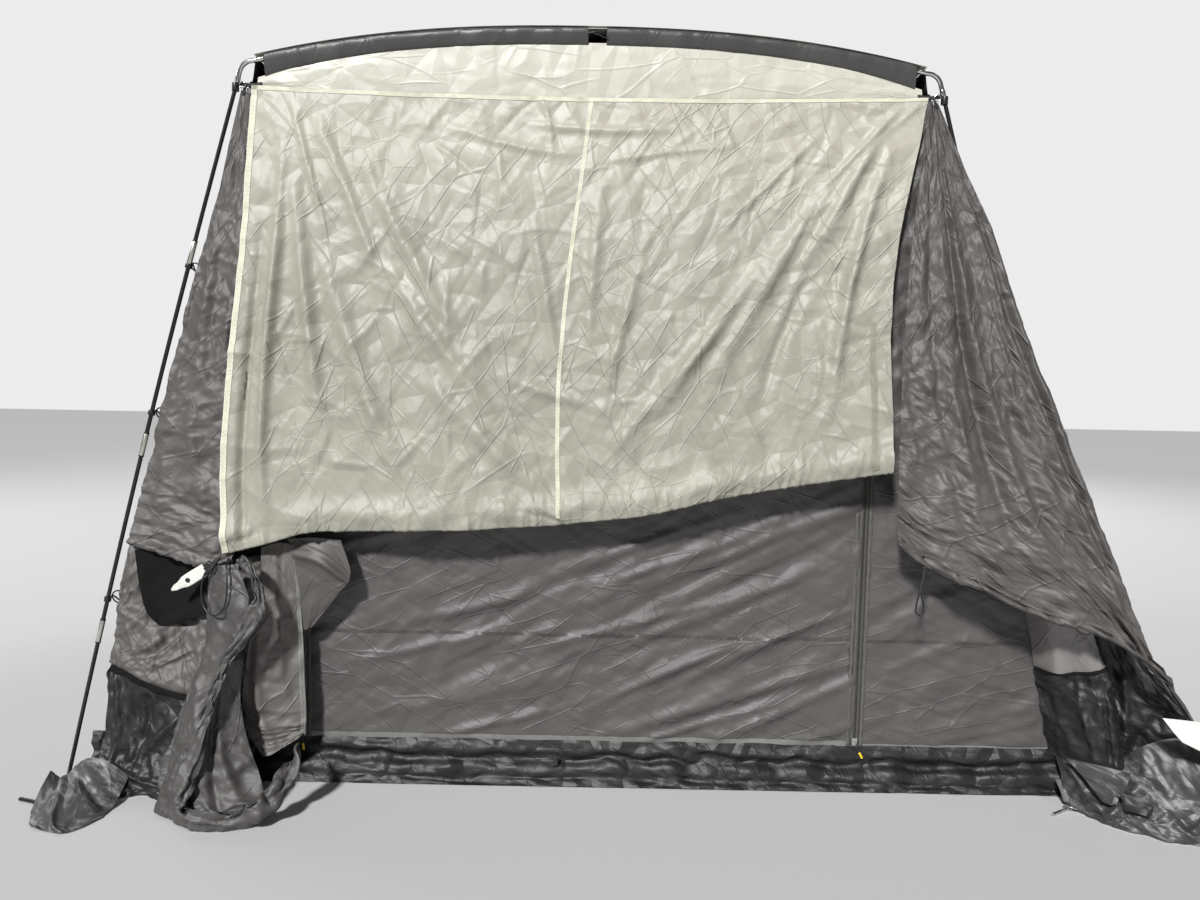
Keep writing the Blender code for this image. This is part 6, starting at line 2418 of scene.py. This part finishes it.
@dataclass
class Fastenings:
    """Corner ties, the white tab, buckle, loops, label and pegs."""

    cord_r: float = 0.0022
    strap_width: float = 0.010
    strap_t: float = 0.0018
    tab_t: float = 0.0016
    tab_outline: tuple[tuple[float, float], ...] = (
        (-0.052, 0.016), (-0.020, 0.017), (0.014, 0.0165), (0.026, 0.0125), (0.036, 0.0095), (0.046, 0.0085),
        (0.054, 0.0045), (0.058, 0.0030))
    peg_r: float = 0.0052
    pin_r: float = 0.0040
    tie_width: float = 0.0105
    peg_web_width: float = 0.024
    buckle_loop: tuple[Point, ...] = (
        (-1.0060, -0.1103, 0.6450), (-1.0080, -0.1210, 0.6430), (-1.0120, -0.1310, 0.6370),
        (-1.0165, -0.1390, 0.6240), (-1.0195, -0.1440, 0.6080), (-1.0210, -0.1470, 0.5900),
        (-1.0205, -0.1500, 0.5720), (-1.0170, -0.1540, 0.5540), (-1.0090, -0.1590, 0.5380),
        (-0.9960, -0.1650, 0.5260), (-0.9800, -0.1710, 0.5210), (-0.9630, -0.1770, 0.5260),
        (-0.9500, -0.1810, 0.5380), (-0.9420, -0.1830, 0.5560), (-0.9385, -0.1830, 0.5760),
        (-0.9385, -0.1800, 0.5960), (-0.9400, -0.1750, 0.6160), (-0.9430, -0.1690, 0.6350),
        (-0.9470, -0.1590, 0.6520), (-0.9515, -0.1440, 0.6630), (-0.9545, -0.1260, 0.6660),
        (-0.9560, -0.1099, 0.6640))
    hem_strap: tuple[Point, ...] = (
        (0.9290, -0.1352, 0.6820), (0.9290, -0.1335, 0.6550), (0.9250, -0.1315, 0.6280),
        (0.9220, -0.1310, 0.6040))
    hem_loop: tuple[Point, ...] = (
        (0.9257, -0.1310, 0.6034), (0.9275, -0.1312, 0.5959), (0.9291, -0.1315, 0.5884),
        (0.9305, -0.1317, 0.5808), (0.9316, -0.1319, 0.5733), (0.9323, -0.1322, 0.5658),
        (0.9325, -0.1324, 0.5583), (0.9294, -0.1328, 0.5509), (0.9220, -0.1330, 0.5478),
        (0.9146, -0.1328, 0.5509), (0.9115, -0.1324, 0.5583), (0.9117, -0.1322, 0.5658),
        (0.9124, -0.1319, 0.5733), (0.9135, -0.1317, 0.5808), (0.9149, -0.1315, 0.5884),
        (0.9165, -0.1312, 0.5959), (0.9183, -0.1310, 0.6034))

    def build(self) -> None:
        """Build and dress every small fastening."""
        for side in Side:
            self.build_corner_tie(side)
        self.build_tab()
        self.build_loops()
        self.build_pegs()
        self.build_label()

    def build_corner_tie(self, side: Side) -> None:
        """Webbing tie and ring between a top corner and its leg."""
        s = side.value
        path = [Vector((s * x, -0.0035 - 0.001 * math.sin(60 * x), 1.9515 + 0.002 * math.sin(80 * x)))
                for x in np.linspace(0.893, 0.9565, 14)]
        strap(f"corner_tie_{side.word}_web", path, Vector((0, 0, 1)), self.tie_width, self.strap_t, WEBBING,
              stands_for=[f"corner_tie_{side.word}"])
        leg = PLAN.leg_point(side, End.REAR, 1.944)
        up = Vector((0, 0, 1))
        hand_over(turned_collar(f"corner_tie_{side.word}_cap", leg, up, 0.0095, 0.022, 0.0016), BLACK_PLASTIC)
        link = ring(f"corner_tie_{side.word}_ring", Vector((s * 0.945, -0.009, 1.948)),
                    Vector((0.2, 1, 0)), 0.0085, 0.0016)
        hand_over(link, BRIGHT_STEEL)
        tail = [Vector((s * (0.938 + 0.006 * t), -0.006, 1.944 - 0.022 * t)) for t in np.linspace(0, 1, 6)]
        strap(f"corner_tie_{side.word}_tail", tail, Vector((1, 0, 0)), 0.008, 0.0016, WEBBING)

    def build_tab(self) -> None:
        """White tab with a black eyelet and a pointed end."""
        centre = Vector((-1.066, -0.1124, 0.606))
        run = Vector((-0.84, 0.0, -0.54)).normalized()
        across = Vector((run.z, 0.0, -run.x))
        rows = []
        for place, half in self.tab_outline:
            bow = -0.0015 - 0.006 * (place / 0.055) ** 2
            rows.append([tuple(centre + run * place + across * (half * t) + Vector((0, bow, 0)))
                         for t in (-1.0, -0.4, 0.4, 1.0)])
        cloth = Cloth(rows, 0.0028, SEED + 191)
        cloth.crumple(0.0006, 0.03, 2).settle()
        obj = cloth.mesh("tunnel_tab_cloth")
        thicken(obj, self.tab_t)
        hand_over(obj, WHITE_WEB, stands_for=["tunnel_tab"])
        eye = centre + run * 0.008 + Vector((0, -0.0040, 0))
        hand_over(ring("tunnel_tab_eyelet", eye, Vector((0, 1, 0)), 0.0052, 0.0014), BLACK_PLASTIC)
        hole = turned_collar("tunnel_tab_hole", eye, Vector((0, 1, 0)), 0.0046, 0.0022, 0.0004)
        hand_over(hole, BLACK_PLASTIC)

    def build_loops(self) -> None:
        """Buckle and webbing loops at the hems' inner ends."""
        buckle = block("tunnel_buckle", Vector((-1.000, -0.130, 0.640)), Vector((0.036, 0.012, 0.026)),
                       Matrix.Rotation(0.5, 3, "Y"), 0.003)
        hand_over(buckle, BLACK_PLASTIC)
        web = smooth_path([(-0.985, -0.122, 0.668), (-0.992, -0.128, 0.655), (-1.000, -0.139, 0.640),
                           (-1.012, -0.134, 0.622)], 14)
        strap("tunnel_buckle_web", web, Vector((0.87, 0, 0.5)), 0.022, 0.0020, WEBBING)
        path = cord_path(self.buckle_loop, 2)
        loop = bent_bar("tunnel_loop_web", path, self.cord_r, 3)
        hand_over(loop, BLACK_PLASTIC, stands_for=["buckle_loop"])
        free_cord(path)
        path = cord_path(self.hem_strap, 5)
        web = strap("tunnel_strap_right", path, Vector((1, 0, 0)), self.strap_width, self.strap_t, WEBBING,
                    stands_for=["hem_strap_right"])
        free_cord(path)
        path = cord_path(self.hem_loop, 2)
        loop = bent_bar("tunnel_strap_loop_right", path, self.cord_r, 3)
        hand_over(loop, BLACK_PLASTIC, stands_for=["hem_strap_loop_right"])
        free_cord(path)
        toggle = [Vector((-0.065, -0.030, 0.085 - 0.030 * t)) for t in np.linspace(0, 1, 8)]
        strap("skirt_peg_loop", toggle, Vector((1, 0, 0)), 0.014, self.strap_t, WEBBING)

    def build_pegs(self) -> None:
        """Rod of the left skirt corner, and the ring and pin at the right foot."""
        path = smooth_path([(-1.509, -0.183, 0.0062), (-1.475, -0.193, 0.0062), (-1.391, -0.222, 0.0062)], 24)
        hand_over(bent_bar("peg_left_rod", path, self.peg_r, 5), ROD, stands_for=["peg_left"])
        path = smooth_path([(1.305, -0.160, 0.0062), (1.370, -0.122, 0.0062), (1.437, -0.0859, 0.0062)], 24)
        hand_over(bent_bar("peg_right_pin", path, self.pin_r, 5), BRIGHT_STEEL, stands_for=["peg_right"])
        link = ring("peg_right_ring", Vector((1.372, -0.128, 0.012)), Vector((0.3, 0.3, 1)), 0.017, 0.0022)
        hand_over(link, BRIGHT_STEEL)
        web = smooth_path([(1.372, -0.060, 0.060), (1.374, -0.085, 0.040), (1.374, -0.110, 0.018)], 12)
        finish = replace(WEBBING, name="grey_peg_web", colour=(0.16, 0.155, 0.15), width=self.peg_web_width)
        strap("peg_right_web", web, Vector((1, 0, 0)), self.peg_web_width, 0.0022, finish)

    def build_label(self) -> None:
        """Blank label at the right wall's lower end."""
        rows = mm([
            [(1496, -292, 336), (1556, -296, 332), (1622, -298, 326)],
            [(1521, -297, 304), (1572, -301, 293), (1626, -303, 282)],
            [(1546, -300, 276), (1588, -304, 257), (1630, -306, 238)]])
        cloth = Cloth(rows, 0.005, SEED + 201)
        cloth.crumple(0.002, 0.05, 2).settle()
        cloth.piece("blank_label_cloth", LABEL_CLOTH, Hold.HUNG, ["tunnel_wall_right_cloth"])


def main() -> None:
    """Build the awning's looks."""
    logging.basicConfig(level=logging.INFO, format="%(message)s")
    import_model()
    Studio().build()
    for end in End:
        PoleArch(end).build()
        SleevePair(end).build()
        Gable(end).build()
        EndWall(end).build()
        for side in Side:
            for z in CLIP_HEIGHTS:
                PoleClip(side, end, z, large=z == CLIP_HEIGHTS[-1]).build()
    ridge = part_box("ridge_pole")
    path = [Vector((RIDGE_X, y, PLAN.crown_z)) for y in np.linspace(ridge[0].y, ridge[1].y, 12)]
    hand_over(bent_bar("ridge_pole_rod", path, RIDGE_R), ROD, stands_for=["ridge_pole"])
    Roof().build()
    for side in Side:
        SideWall(side).build()
        DoorZip(side).build()
    TunnelRoof().build()
    TunnelLeft().build()
    TunnelRight().build()
    Fastenings().build()
    deselect_all()


if __name__ == "__main__":
    main()
